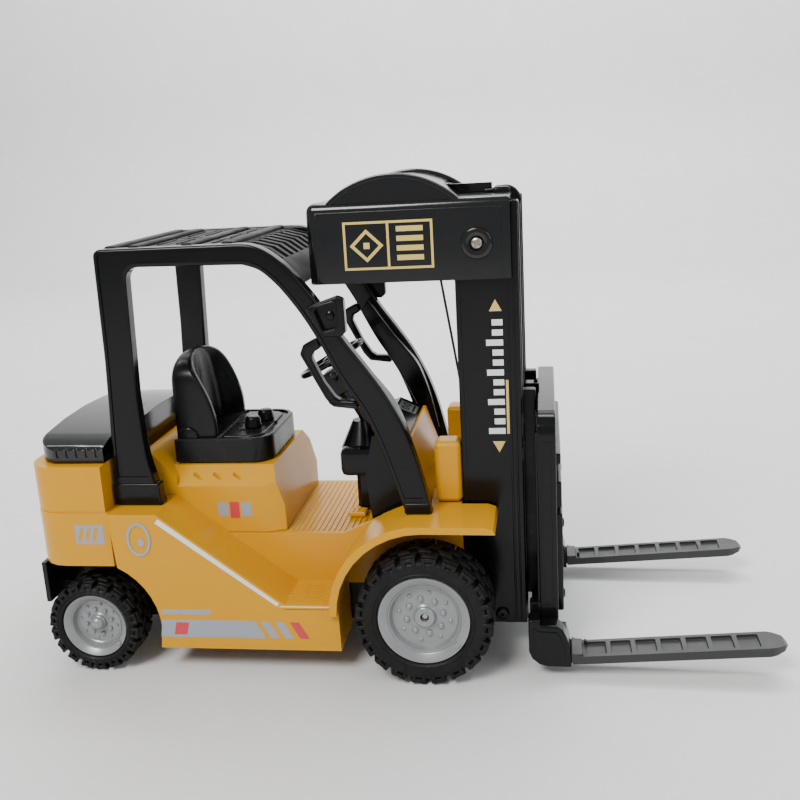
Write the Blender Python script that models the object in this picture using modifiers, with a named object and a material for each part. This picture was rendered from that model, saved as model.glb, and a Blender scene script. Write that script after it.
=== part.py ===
"""Toy forklift truck: an assembly of separate pieces, metres, +Z up, +X towards the fork tips.

The origin lies on the ground at the centre of the footprint. The truck's left is +Y.
Wheels turn on through axles, the steering wheel turns on its column, and the fork carriage
slides up the mast, hauled by a cord loop round a winding drum and two pulleys.
"""
import bpy
import bmesh
from math import pi, sin, cos, sqrt, atan2, asin, acos, hypot
from mathutils import Matrix

MM = 0.001

# ---- driving dimensions (millimetres) -------------------------------------------------
LENGTH, HALF_W = 330.0, 69.0
FRONT_AXLE = (13.0, 30.0)          # x, z
REAR_AXLE = (-139.5, 22.0)
FRONT_R, REAR_R = 30.0, 22.0       # tyre radii
FRONT_Y = (46.0, 69.0)             # tyre faces, inner and outer
REAR_Y = (45.5, 63.5)
FRONT_RIM, REAR_RIM = 20.0, 15.2
AXLE_R, BORE_R = 1.6, 1.66
SIDE_Y = 62.0                      # flanks of the bodywork
CORE_Y = 36.5                      # side of the cab well and seat box
DECK_Z, FLOOR_Z, STEP_Z = 76.0, 57.5, 34.0
FENDER_Z, FENDER_Y = 71.5, 65.0
FRONT_ARCH, REAR_ARCH = 38.5, 32.4
GUARD_Y = (43.0, 50.0)
ROOF_Z = 191.0
MAST_X, MAST_Y, MAST_Z = (29.0, 56.0), (22.0, 34.0), (13.0, 202.5)
WINCH_X, WINCH_Y, WINCH_Z = (-33.0, 53.0), 36.5, (171.0, 205.0)
DOME_C, DOME_R = (4.0, 175.0), 41.0
DRUM_C, DRUM_R = (2.8, 190.0), 12.5
PULLEY_R = 5.0
TOP_PULLEY, LOW_PULLEY = (50.0, 201.0), (46.0, 28.0)
CORD_R = 0.6
CORD_OFF = 0.9                     # cord centre outside the surface it wraps
BACKREST_X, BACKREST_Z = (62.0, 70.0), (20.0, 115.5)
FORK_Y, FORK_W = 52.0, 15.0
GAP = 0.3

YELLOW = (0.72, 0.40, 0.05)
BLACK = (0.012, 0.012, 0.013)
SILVER = (0.48, 0.49, 0.50)
RUBBER = (0.015, 0.015, 0.015)
STEEL = (0.62, 0.61, 0.58)

for old in list(bpy.data.objects):
    bpy.data.objects.remove(old, do_unlink=True)
scene = bpy.context.scene
parts = bpy.data.collections.new("toy_forklift")
tools = bpy.data.collections.new("cutters")
scene.collection.children.link(parts)
scene.collection.children.link(tools)


# ---- helpers --------------------------------------------------------------------------
def claim(obj, coll):
    """Move obj into one collection only."""
    for c in list(obj.users_collection):
        c.objects.unlink(obj)
    coll.objects.link(obj)
    return obj


def tool(obj):
    """Mark obj as a cutter or an operand."""
    claim(obj, tools)
    obj.hide_render = True
    obj.display_type = "WIRE"
    return obj


def node(obj, name, colour, rough, metal=0.0):
    """Name a finished piece and give it its own material."""
    claim(obj, parts)
    obj.name = name
    obj.data.name = name
    m = bpy.data.materials.new(name)
    m.use_nodes = True
    b = m.node_tree.nodes["Principled BSDF"]
    b.inputs["Base Color"].default_value = (*colour, 1.0)
    b.inputs["Roughness"].default_value = rough
    b.inputs["Metallic"].default_value = metal
    obj.data.materials.clear()
    obj.data.materials.append(m)
    return obj


def box(x, y, z, bevel=0.0, seg=1):
    """Axis-aligned block from (lo, hi) pairs."""
    bpy.ops.mesh.primitive_cube_add(size=1.0)
    o = bpy.context.object
    o.data.transform(Matrix.Diagonal(((x[1] - x[0]) * MM, (y[1] - y[0]) * MM,
                                      (z[1] - z[0]) * MM, 1.0)))
    o.location = ((x[0] + x[1]) / 2 * MM, (y[0] + y[1]) / 2 * MM, (z[0] + z[1]) / 2 * MM)
    if bevel:
        round_edges(o, bevel, seg)
    return o


def round_edges(o, width, seg=1, angle=35.0):
    b = o.modifiers.new("edges", "BEVEL")
    b.width = width * MM
    b.segments = seg
    b.limit_method = "ANGLE"
    b.angle_limit = angle * pi / 180
    return b


def rod(x, y, z, r, axis, length, seg=32, r2=None):
    """Cylinder or cone centred at (x, y, z) along X, Y or Z; r2 is the far end's radius."""
    if r2 is None:
        bpy.ops.mesh.primitive_cylinder_add(vertices=seg, radius=r * MM, depth=length * MM)
    else:
        bpy.ops.mesh.primitive_cone_add(vertices=seg, radius1=r * MM, radius2=r2 * MM,
                                        depth=length * MM)
    o = bpy.context.object
    o.location = (x * MM, y * MM, z * MM)
    o.rotation_euler = {"X": (0, pi / 2, 0), "Y": (-pi / 2, 0, 0), "Z": (0, 0, 0)}[axis]
    return o


def solid_mesh(curve_obj):
    """Make a closed mesh of a curve object."""
    bpy.context.view_layer.update()
    dg = bpy.context.evaluated_depsgraph_get()
    me = bpy.data.meshes.new_from_object(curve_obj.evaluated_get(dg))
    o = bpy.data.objects.new("solid", me)
    o.matrix_world = curve_obj.matrix_world.copy()
    bpy.data.objects.remove(curve_obj, do_unlink=True)
    bm = bmesh.new()
    bm.from_mesh(me)
    bmesh.ops.remove_doubles(bm, verts=bm.verts, dist=1e-6)
    bmesh.ops.recalc_face_normals(bm, faces=bm.faces)
    bm.to_mesh(me)
    bm.free()
    scene.collection.objects.link(o)
    return o


def slab(outlines, plane, lo, hi):
    """Flat outline(s), the later ones holes, extruded between lo and hi.

    plane XZ extrudes along Y, YZ along X and XY along Z.
    """
    cu = bpy.data.curves.new("outline", "CURVE")
    cu.dimensions = "2D"
    cu.fill_mode = "BOTH"
    cu.extrude = (hi - lo) / 2 * MM
    cu.resolution_u = 1
    cu.render_resolution_u = 0
    for pts in outlines:
        s = cu.splines.new("POLY")
        s.points.add(len(pts) - 1)
        for p, (a, b) in zip(s.points, pts):
            p.co = (a * MM, b * MM, 0.0, 1.0)
        s.use_cyclic_u = True
    o = bpy.data.objects.new("outline", cu)
    scene.collection.objects.link(o)
    mid = (lo + hi) / 2 * MM
    if plane == "XZ":
        o.rotation_euler = (pi / 2, 0, 0)
        o.location = (0, mid, 0)
    elif plane == "YZ":
        o.rotation_euler = (pi / 2, 0, pi / 2)
        o.location = (mid, 0, 0)
    else:
        o.location = (0, 0, mid)
    return solid_mesh(o)


def wire(points, r, seg=1):
    """Round bar or cord along a path of (x, y, z) points."""
    cu = bpy.data.curves.new("path", "CURVE")
    cu.dimensions = "3D"
    cu.bevel_depth = r * MM
    cu.bevel_resolution = seg
    cu.use_fill_caps = True
    cu.resolution_u = 1
    cu.render_resolution_u = 0
    s = cu.splines.new("POLY")
    s.points.add(len(points) - 1)
    for p, q in zip(s.points, points):
        p.co = (q[0] * MM, q[1] * MM, q[2] * MM, 1.0)
    o = bpy.data.objects.new("path", cu)
    scene.collection.objects.link(o)
    return solid_mesh(o)


def turned(profile, x, y, z, seg=48, side=1, closed=True):
    """Turned piece on an axis along Y. profile: (radius, offset outwards), outer side from
    the outboard end to the inboard end; closed joins the last point to the first."""
    me = bpy.data.meshes.new("profile")
    n = len(profile)
    edges = [(i, i + 1) for i in range(n - 1)] + ([(n - 1, 0)] if closed else [])
    me.from_pydata([(r * MM, 0.0, h * MM) for r, h in profile], edges, [])
    o = bpy.data.objects.new("turned", me)
    scene.collection.objects.link(o)
    s = o.modifiers.new("turn", "SCREW")
    s.steps = seg
    s.render_steps = seg
    s.use_merge_vertices = True
    s.merge_threshold = 1e-6
    s.use_smooth_shade = True
    o.location = (x * MM, y * MM, z * MM)
    o.rotation_euler = (-pi / 2, 0, 0) if side > 0 else (pi / 2, 0, 0)
    return o


def combine(target, other, op):
    m = target.modifiers.new(op.lower(), "BOOLEAN")
    m.operation = op
    m.solver = "EXACT"
    m.object = tool(other)
    return target


def cut(target, *others):
    for o in others:
        combine(target, o, "DIFFERENCE")
    return target


def join(target, *others):
    for o in others:
        combine(target, o, "UNION")
    return target


def keep(target, *others):
    for o in others:
        combine(target, o, "INTERSECT")
    return target


def arc(cx, cz, r, a0, a1, n):
    """n + 1 points on a circle, angles in degrees from +X towards +Z."""
    return [(cx + r * cos((a0 + (a1 - a0) * i / n) * pi / 180),
             cz + r * sin((a0 + (a1 - a0) * i / n) * pi / 180)) for i in range(n + 1)]


def set_origin(obj, x, y, z):
    """Put the origin of obj on its joint's axis without moving the shape."""
    bpy.context.view_layer.update()
    new = Matrix.Translation((x * MM, y * MM, z * MM))
    rot = obj.matrix_world.to_3x3().to_4x4()
    target = new @ rot
    obj.data.transform(target.inverted() @ obj.matrix_world)
    obj.matrix_world = target
    return obj


def smooth(obj, angle=35.0):
    obj.data.shade_smooth()
    obj.data.set_sharp_from_angle(angle=angle * pi / 180)
    return obj


# ---- wheels and axles -----------------------------------------------------------------
def wheel(tag, side, axle, r_tyre, r_rim, ys, capped):
    x, z = axle
    w = (ys[1] - ys[0]) / 2
    mid = side * (ys[0] + w)
    b = r_rim + GAP
    tyre = turned([(b, w - 1.6), (b + 2.0, w), (r_tyre - 3.2, w - 0.4), (r_tyre, w - 3.6),
                   (r_tyre, 3.6 - w), (r_tyre - 3.2, 0.4 - w), (b + 2.0, -w), (b, 1.6 - w)],
                  x, mid, z, 36, side)
    node(tyre, "tyre_" + tag, RUBBER, 0.75)
    dish, lip, hub = r_rim * 0.77, w - 1.4, r_rim * 0.23
    rim = turned([(AXLE_R + GAP, w - 4.5), (hub, w - 4.5), (hub, w - 6.6), (dish, w - 6.6),
                  (dish + 1.2, w - 3.0), (r_rim - 0.8, lip), (r_rim, lip - 0.8), (r_rim, 1.6 - w),
                  (r_rim - 1.8, 1.6 - w), (dish, w - 10.0), (hub + 1.0, w - 10.0),
                  (hub + 1.0, 1.0 - w), (AXLE_R + GAP, 1.0 - w)], x, mid, z, 28, side)
    node(rim, "rim_" + tag, SILVER, 0.4)
    if capped:
        cap = turned([(0.0, 1.6), (1.8, 1.25), (3.0, 0.3), (3.2, -0.6), (0.0, -0.6)],
                     x, side * (ys[0] + 2 * w - 3.6), z, 16, side, closed=False)
        node(cap, "hub_cap_" + tag, SILVER, 0.35)
        set_origin(cap, x, side * (ys[0] + 2 * w - 3.6), z)


for nm, sd in (("right", -1), ("left", 1)):
    wheel("front_" + nm, sd, FRONT_AXLE, FRONT_R, FRONT_RIM, FRONT_Y, False)
    wheel("rear_" + nm, sd, REAR_AXLE, REAR_R, REAR_RIM, REAR_Y, True)
for nm, axle, reach in (("front_axle", FRONT_AXLE, 63.0), ("rear_axle", REAR_AXLE, 58.5)):
    a = rod(axle[0], 0, axle[1], AXLE_R, "Y", 2 * reach, 32)
    node(a, nm, STEEL, 0.3, 1.0)

# ---- underframe -----------------------------------------------------------------------
frame = box((-158, 28.3), (-34, 34), (14, 46))
cut(frame, box((-155.6, 25.9), (-31.6, 31.6), (16.5, 60)))
join(frame, box((-164.4, -162.3), (-56, 56), (31, 50.4)), box((-163.4, -157), (-33, 33), (31, 45)))
for cx, cz in (FRONT_AXLE, REAR_AXLE):
    cut(frame, rod(cx, 0, cz, BORE_R, "Y", 90, 32))
node(frame, "underframe", BLACK, 0.5)

# ---- yellow bodywork ------------------------------------------------------------------
fx, fz = FRONT_AXLE
rx, rz = REAR_AXLE
side_line = ([(-126.6, DECK_Z), (-104, DECK_Z), (-52, 36), (-49, STEP_Z), (-25.3, STEP_Z),
              (-25.0, 12), (-108.5, 12)] + arc(rx, rz, REAR_ARCH, 0, 63, 7))
fender_line = (arc(fx, fz, FRONT_ARCH + 3.5, 180, 98, 8) + [(40, FENDER_Z), (43.6, FENDER_Z - 1.2),
               (44.4, FENDER_Z - 3.2)] + arc(fx, fz, FRONT_ARCH, 90, 180, 9))
core_line = [(-126.6, 54.5), (-126.6, DECK_Z), (-112, DECK_Z), (-112, FLOOR_Z), (4.2, FLOOR_Z),
             (4.9, FENDER_Z), (28.2, FENDER_Z), (28.2, 50), (28.2, 33.2), (-112, 33.2), (-112, 54.5)]
body = slab([core_line], "XZ", -CORE_Y, CORE_Y)
cut(body, box((-111, 25.8), (-34.3, 34.3), (20, 54.8)), box((7.5, 25.8), (-34.3, 34.3), (30, 69)),
    box((-115, 40), (-34.3, 34.3), (20, 46.4)))
for sd in (-1, 1):
    lo, hi = sorted((sd * (CORE_Y - 0.4), sd * SIDE_Y))
    pod = slab([side_line], "XZ", lo, hi)
    join(body, pod)
    lo, hi = sorted((sd * (CORE_Y - 0.4), sd * FENDER_Y))
    join(body, slab([fender_line], "XZ", lo, hi))
    lo, hi = sorted((sd * (CORE_Y - 2.4), sd * (CORE_Y + 0.2)))
    join(body, slab([[(-26, 50), (-26, FLOOR_Z), (4, FENDER_Z - 0.5), (8, FENDER_Z - 0.5), (8, 50)]],
                    "XZ", lo, hi))
    lo, hi = sorted((sd * (CORE_Y + 2.0), sd * (SIDE_Y - 2.4)))
    cut(body, slab([[(-104.5, 5), (-104.5, 40), (-112, 50), (-112, 56), (-107, 72), (-105, 72),
                     (-53.5, 32.5), (-28, 31), (-28, 5)]], "XZ", lo, hi))
node(body, "body_shell", YELLOW, 0.3)

weight = slab([[(-127, -60), (-150, -60)] + arc(-150, -45, 15, 270, 180, 5) +
               arc(-150, 45, 15, 180, 90, 5) + [(-127, 60)]], "XY", 50.8, DECK_Z)
top = slab([[(-128.4, -59), (-151, -59)] + arc(-151, -45, 14, 270, 180, 5) +
            arc(-151, 45, 14, 180, 90, 5) + [(-128.4, 59)]], "XY", DECK_Z - 1, 97.2)
join(weight, top)
cut(weight, box((-160, -130), (-54, 54), (45, 93.5)))
node(weight, "counterweight", YELLOW, 0.3)

# engine cover: crowned across, rounded at the rear corners, narrower between the posts
crown = [(-54, 97.6), (-54, 103.6), (-51, 105.4), (-40, 107.6), (-22, 109.6), (0, 110.4),
         (22, 109.6), (40, 107.6), (51, 105.4), (54, 103.6), (54, 97.6)]
hood = slab([crown], "YZ", -161.5, -122.4)
keep(hood, slab([[(-122, -41.6), (-128.4, -41.6), (-128.4, -55)] + [(-147, -55)] +
                 arc(-148, -41, 13.5, 268, 180, 6) + arc(-148, 41, 13.5, 180, 92, 6) +
                 [(-147, 55), (-128.4, 55), (-128.4, 41.6), (-122, 41.6)]], "XY", 90, 115))
cut(hood, box((-158, -126), (-38, 38), (90, 104)))
node(hood, "engine_cover", BLACK, 0.2)

BOX_Y = CORE_Y - 0.7
seat_box = slab([[(-BOX_Y, 57.8), (-BOX_Y, 80), (-28, 88), (28, 88), (BOX_Y, 80), (BOX_Y, 57.8)]],
                "YZ", -111.6, -52)
keep(seat_box, slab([[(-111.6, 57.8), (-111.6, 90), (-59, 90), (-53.4, 70), (-53.4, 57.8)]],
                    "XZ", -45, 45))
keep(seat_box, slab([[(-112, -40), (-62.5, -36.1), (-53, -33.0), (-53, 33.0), (-62.5, 36.1),
                      (-112, 40)]], "XY", 50, 95))
join(seat_box, slab([[(-121.8, 76.8), (-121.8, 94.5), (-117, 97.3), (-113.5, 95.5), (-103, 84),
                      (-103, 76.8)]], "XZ", -BOX_Y, BOX_Y))
cut(seat_box, box((-108.5, -56.5), (-33.5, 33.5), (50, 77)))
node(seat_box, "seat_box", YELLOW, 0.3)

cowl = slab([[(4.0, 71.9), (4.0, 98.8), (5.6, 98.8), (14.5, 71.9)]], "XZ", -33, 33)
node(cowl, "dash_cowl", YELLOW, 0.3)

# ---- cab ------------------------------------------------------------------------------
seat = slab([[(-106, -27), (-70, -27)] + arc(-70, -17, 10, 270, 360, 4) +
             arc(-70, 17, 10, 0, 90, 4) + [(-106, 27)]], "XY", 88.4, 100)
round_edges(seat, 1.4)
node(seat, "seat_base", BLACK, 0.35)

back = slab([[(-24, 100.3), (-24, 118), (-23, 124), (-19, 131), (-12, 135.8), (-4, 137.6), (4, 137.6), (12, 135.8), (19, 131),
              (23, 124), (24, 118), (24, 100.3)]], "YZ", -107, -80)
keep(back, slab([[(-106, 100.3), (-105.6, 125), (-103, 138.5), (-95, 138.5), (-90, 120),
                  (-86, 108), (-84, 100.3)]], "XZ", -30, 30))
cut(back, rod(-74, 0, 120, 21.5, "Z", 60, 24))
node(back, "seat_back", BLACK, 0.35)

for nm, kx, ky in (("lever_knob_a", -72.5, -9), ("lever_knob_b", -70, 4)):
    node(rod(kx, ky, 103.2, 4.2, "Z", 5.6, 20, 3.4), nm, BLACK, 0.2)

dash = slab([[(-12.5, 57.9), (-15, 84), (-11, 102), (-7, 103.4), (3.7, 98.6), (3.7, 57.9)]],
            "XZ", -32.5, 32.5)
cut(dash, box((-9, 10), (-29.5, 29.5), (50, 94)))
join(dash, box((-24, -11), (-10, 10), (57.9, 82), 2), box((-31, -10), (-13, 13), (76, 90), 3, 2))
COL_TILT = 28 * pi / 180
COL_DIR = (-sin(COL_TILT), cos(COL_TILT))
WHEEL_C = (-34.0, 131.0)
WHEEL_R = 15.6


def on_column(back):
    """Point (x, z) on the steering axis, this far below the wheel's centre."""
    return WHEEL_C[0] - COL_DIR[0] * back, WHEEL_C[1] - COL_DIR[1] * back


def column_rod(back, r, length, seg, r2=None):
    cx, cz = on_column(back)
    o = rod(cx, 0, cz, r, "Z", length, seg, r2)
    o.rotation_euler = (0, -COL_TILT, 0)
    return o


join(dash, rod(-21.5, 0, 94.5, 10.5, "Z", 13, 24, 4.4), column_rod(24, 3.6, 20, 20),
     column_rod(14.5, 6.0, 13, 24, 7.6))
cut(dash, column_rod(10, 2.06, 16, 32))
node(dash, "dashboard", BLACK, 0.25)

bpy.ops.mesh.primitive_torus_add(major_radius=WHEEL_R * MM, minor_radius=1.5 * MM,
                                 major_segments=28, minor_segments=6)
ring = bpy.context.object
for k in range(3):
    a = (90 + 120 * k) * pi / 180
    spoke = rod(7.6 * cos(a), 7.6 * sin(a), -0.3, 1.1, "X", 15, 8)
    spoke.rotation_euler = (0, pi / 2, a)
    join(ring, spoke)
join(ring, rod(0, 0, -0.6, 4.4, "Z", 4.4, 20), rod(0, 0, -8.4, 2.0, "Z", 16, 32))
for o in [ring] + [m.object for m in ring.modifiers]:
    o.matrix_world = (Matrix.Translation((WHEEL_C[0] * MM, 0, WHEEL_C[1] * MM)) @
                      Matrix.Rotation(-COL_TILT, 4, "Y") @ o.matrix_basis)
node(ring, "steering_wheel", BLACK, 0.35)

node(box((-27, -19), (-18, -11), (57.9, 60.4), 0.6), "pedal", YELLOW, 0.3)

# ---- overhead guard -------------------------------------------------------------------
outer = [(-127.8, 76.3), (-126, 102), (-124, 143), (-123.2, 188), (-120.5, ROOF_Z), (-58, ROOF_Z),
         (-49, 188.6), (-40, 182), (-26, 164), (-17, 149), (-3, 130), (7, 110), (14, 85),
         (16.5, 71.9)]
inner = [(5, 71.9), (-1, 92), (-10, 117), (-21, 134), (-28, 150), (-41, 170), (-50, 179.5),
         (-59, 182), (-106, 183), (-110, 179.5), (-111.5, 126), (-110.5, 100), (-106, 84),
         (-105, 76.3)]
fin = [(-22, 153), (-16, 145), (-10, 135.5), (-3, 127), (0.5, 122), (3.4, 116), (6.8, 106),
       (9.6, 95), (11.4, 86), (6, 86), (1.5, 95), (-4, 108), (-11, 121), (-19, 134), (-26, 148)]
for nm, sd in (("right", -1), ("left", 1)):
    lo, hi = sorted((sd * GUARD_Y[0], sd * GUARD_Y[1]))
    frame_side = slab([outer + inner], "XZ", lo, hi)
    fin_lo, fin_hi = sorted((sd * 36.6, sd * 44.5))
    join(frame_side, slab([fin], "XZ", fin_lo, fin_hi))
    round_edges(frame_side, 0.9)
    node(frame_side, "guard_side_" + nm, BLACK, 0.35)
    lo, hi = sorted((sd * 44.0, sd * 49.0))
    loop = slab([[(-28.7, 150.6), (-35, 147.4), (-36.7, 143.4), (-34, 138), (-27, 124),
                  (-23.8, 120.2), (-11.6, 118.6), (-14.1, 122.6), (-20.5, 123.0), (-22.8, 124.6),
                  (-27, 131), (-31.6, 141.4), (-31, 144), (-27.0, 146.2)]], "XZ", lo, hi)
    node(loop, "grab_handle_" + nm, BLACK, 0.35)
    lo, hi = sorted((sd * 50.3, sd * 55.5))
    lamp = slab([[(-30.8, 164.6), (-18, 168.6), (-15, 167.4), (-14.8, 153.6), (-17, 151.6),
                  (-24.6, 152), (-30.6, 162.4)]], "XZ", lo, hi)
    round_edges(lamp, 0.8)
    node(lamp, "lamp_housing_" + nm, BLACK, 0.35)

roof = slab([[(-122.5, 186.6), (-122.5, 189.6), (-59, 189.6), (-50, 187.2), (-41, 180.6),
              (-35, 172.6), (-37.4, 170.9), (-43, 178.2), (-51, 184.4), (-59.5, 186.6)]],
            "XZ", -42.7, 42.7)
for bx in (-118.5, -108, -84, -66):
    join(roof, box((bx - 2.5, bx + 2.5), (-42.7, 42.7), (188, 191.6), 0.6))
for k in range(9):
    cut(roof, box((-62, -44), (9.2 * (k - 4) - 2.4, 9.2 * (k - 4) + 2.4), (170, 200)))
node(roof, "guard_roof", BLACK, 0.3)

# ---- mast -----------------------------------------------------------------------------
x0, x1 = MAST_X
yi, yo = MAST_Y
for nm, sd in (("right", -1), ("left", 1)):
    col = [(x0, yi), (x0 + 3, yi), (x0 + 3, yo - 2.6), (x1 - 3, yo - 2.6), (x1 - 3, yi), (x1, yi),
           (x1, yo), (x0, yo)]
    column = slab([[(a, sd * b) for a, b in col]], "XY", MAST_Z[0], MAST_Z[1])
    node(column, "mast_column_" + nm, BLACK, 0.35)
    lo, hi = sorted((sd * 24.0, sd * 36.0))
    node(box((17, 28.6), (lo, hi), (71.9, 100), 1.6), "mast_bracket_" + nm, YELLOW, 0.3)


def pulley_bar(bar, centre, lug_x, lug_z, name):
    """Crossmember between the columns with two lugs and the pulley's pin."""
    for s in (-1, 1):
        lo_, hi_ = sorted((s * 3.5, s * 5.6))
        join(bar, box(lug_x, (lo_, hi_), lug_z))
    join(bar, rod(centre[0], 0, centre[1], 1.5, "Y", 10.4, 32))
    node(bar, name, BLACK, 0.35)


pulley_bar(box((38.5, 52), (-21.7, 21.7), (190.3, 193.6)), TOP_PULLEY, (47, 53), (192, 204.2), "mast_top_bar")
pulley_bar(box((28.7, 54), (-21.7, 21.7), (13, 18.5)), LOW_PULLEY, (43, 49), (16, 31), "mast_foot_bar")
for nm, (px, pz) in (("top_pulley", TOP_PULLEY), ("low_pulley", LOW_PULLEY)):
    p = turned([(1.56, 2.9), (6.6, 2.9), (6.6, 2.2), (PULLEY_R, 1.0), (PULLEY_R, -1.0), (6.6, -2.2),
                (6.6, -2.9), (1.56, -2.9)], px, 0, pz, 24)
    node(p, nm, BLACK, 0.4)

# ---- winch housing --------------------------------------------------------------------
wx0, wx1 = WINCH_X
wz0, wz1 = WINCH_Z
dx, dz = DOME_C
gx, gz = DRUM_C
for nm, sd in (("right", -1), ("left", 1)):
    def span(a, b):
        return tuple(sorted((sd * a, sd * b)))

    half = box((wx0, wx1 + 2.4), span(-12, WINCH_Y), (wz0 - 8, wz1), 3.6, 2)
    cut(half, box((-60, 90), span(-30, 0.15), (150, 240)), box((-60, 90), (-60, 60), (150, wz0)),
        box((wx1, 90), (-60, 60), (150, 240)))
    for mid, rr, ln in ((15.9, DOME_R - 1.6, 31.5), (32.9, DOME_R, 3.6)):
        disc = rod(dx, sd * mid, dz, rr, "Y", ln, 48)
        cut(disc, box((-60, 60), span(-5, 45), (100, wz1 - 1.5)))
        join(half, disc)
    cut(half, rod(dx, sd * 14, dz, DOME_R - 4.0, "Y", 33.6, 36))
    cut(half, box((wx0 + 2.2, 70), span(-1, 34.3), (wz0 + 2.2, wz1 - 2.2)),
        box((28.4, 70), span(-1, 34.3), (150, 180)), box((14, 26), span(-1, 3.5), (150, 180)),
        box((23, 70), span(-1, 3.2), (195, 209)), box((44, 70), span(-1, 7.2), (195, 209)))
    join(half, rod(gx, sd * 32.5, gz, 6, "Y", 5, 32))
    cut(half, rod(gx, sd * 32.0, gz, 3.06, "Y", 5, 32))
    join(half, rod(39, sd * (WINCH_Y + 0.5), 186, 6.6, "Y", 1.6, 32))
    cut(half, rod(39, sd * (WINCH_Y + 1), 186, 3.2, "Y", 3.2, 24))
    node(half, "winch_half_" + nm, BLACK, 0.3)
    screw = rod(39, sd * (WINCH_Y - 0.1), 186, 2.7, "Y", 1.0, 24)
    node(screw, "winch_screw_" + nm, STEEL, 0.3, 1.0)

drum = turned([(0.0, 34.2), (3.0, 34.2), (3.0, 10.5), (15.8, 10.5), (15.8, 9.0), (DRUM_R, 8.0),
               (DRUM_R, -8.0), (15.8, -9.0), (15.8, -10.5), (3.0, -10.5), (3.0, -34.2),
               (0.0, -34.2)], gx, 0, gz, 24, 1, closed=False)
node(drum, "winding_drum", BLACK, 0.4)

# ---- cord loop ------------------------------------------------------------------------
def tangent(c0, r0, side0, c1, r1, side1):
    """Ends of the straight run between two wheels; a side is +1 or -1 of the run's direction."""
    ux, uz = c1[0] - c0[0], c1[1] - c0[1]
    d = hypot(ux, uz)
    base = atan2(uz, ux)
    a = base + asin((side1 * r1 - side0 * r0) / d)
    nx, nz = -sin(a), cos(a)
    return ((c0[0] + side0 * r0 * nx, c0[1] + side0 * r0 * nz),
            (c1[0] + side1 * r1 * nx, c1[1] + side1 * r1 * nz))


drum_off, pul_off = DRUM_R + CORD_OFF, PULLEY_R + CORD_OFF
p0, p1 = tangent(DRUM_C, drum_off, -1, TOP_PULLEY, pul_off, 1)
a1 = atan2(p1[1] - TOP_PULLEY[1], p1[0] - TOP_PULLEY[0]) * 180 / pi
over = arc(TOP_PULLEY[0], TOP_PULLEY[1], pul_off, a1, 0, 7)
haul_y = 2.2
haul = ([(p0[0], haul_y, p0[1])] +
        [(a, 0.0, b) for a, b in over])
node(wire(haul, CORD_R), "cord_top", BLACK, 0.8)
q0, q1 = tangent(DRUM_C, drum_off, 1, LOW_PULLEY, pul_off, -1)
a2 = atan2(q1[1] - LOW_PULLEY[1], q1[0] - LOW_PULLEY[0]) * 180 / pi
under = arc(LOW_PULLEY[0], LOW_PULLEY[1], pul_off, a2 % 360, 360, 8)
back_run = ([(q0[0], -2.2, q0[1])] + [(a, 0.0, b) for a, b in under])
node(wire(back_run, CORD_R), "cord_rear", BLACK, 0.8)
FRONT_CORD_X = TOP_PULLEY[0] + pul_off
LOW_CORD_X = LOW_PULLEY[0] + pul_off
UP_ANCHOR, LOW_ANCHOR = 118.0, 58.0
node(wire([(FRONT_CORD_X, 0, TOP_PULLEY[1] - 0.3), (FRONT_CORD_X, 0, UP_ANCHOR + 0.3)], CORD_R),
     "cord_lift", BLACK, 0.8)
node(wire([(LOW_CORD_X, 0, LOW_ANCHOR - 0.3), (LOW_CORD_X, 0, LOW_PULLEY[1] + 0.3)], CORD_R),
     "cord_lower", BLACK, 0.8)

# ---- carriage and forks ---------------------------------------------------------------
bx0, bx1 = BACKREST_X
bz0, bz1 = BACKREST_Z
rest_line = [(-50, bz0), (-50, bz1 - 10), (-48.6, bz1 - 5), (-46, bz1 - 2), (-42, bz1), (42, bz1),
             (46, bz1 - 2), (48.6, bz1 - 5), (50, bz1 - 10), (50, bz0)]
windows = [[(yl, 86), (yl + 19.5, 86), (yl + 19.5, 109), (yl, 109)] for yl in
           (-43.5, -21.0, 1.5, 24.0)]
rest = slab([rest_line] + windows, "YZ", bx0, bx1)
round_edges(rest, 0.7)
join(rest, box((69, 72.4), (-43.5, 43.5), (24, 69.5)), box((69, 72.2), (-43.5, 43.5), (72, 84)),
     box((67, 72), (-44.5, 44.5), (92, 97)),
     box((FRONT_CORD_X - 1.5, 63), (-3.5, 3.5), (UP_ANCHOR - 5, UP_ANCHOR)),
     box((LOW_CORD_X - 1.5, 63), (-3.5, 3.5), (LOW_ANCHOR, LOW_ANCHOR + 5)),
     box((60, 63), (-3.5, 3.5), (LOW_ANCHOR - 4, UP_ANCHOR)))
node(rest, "load_backrest", BLACK, 0.3)

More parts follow.
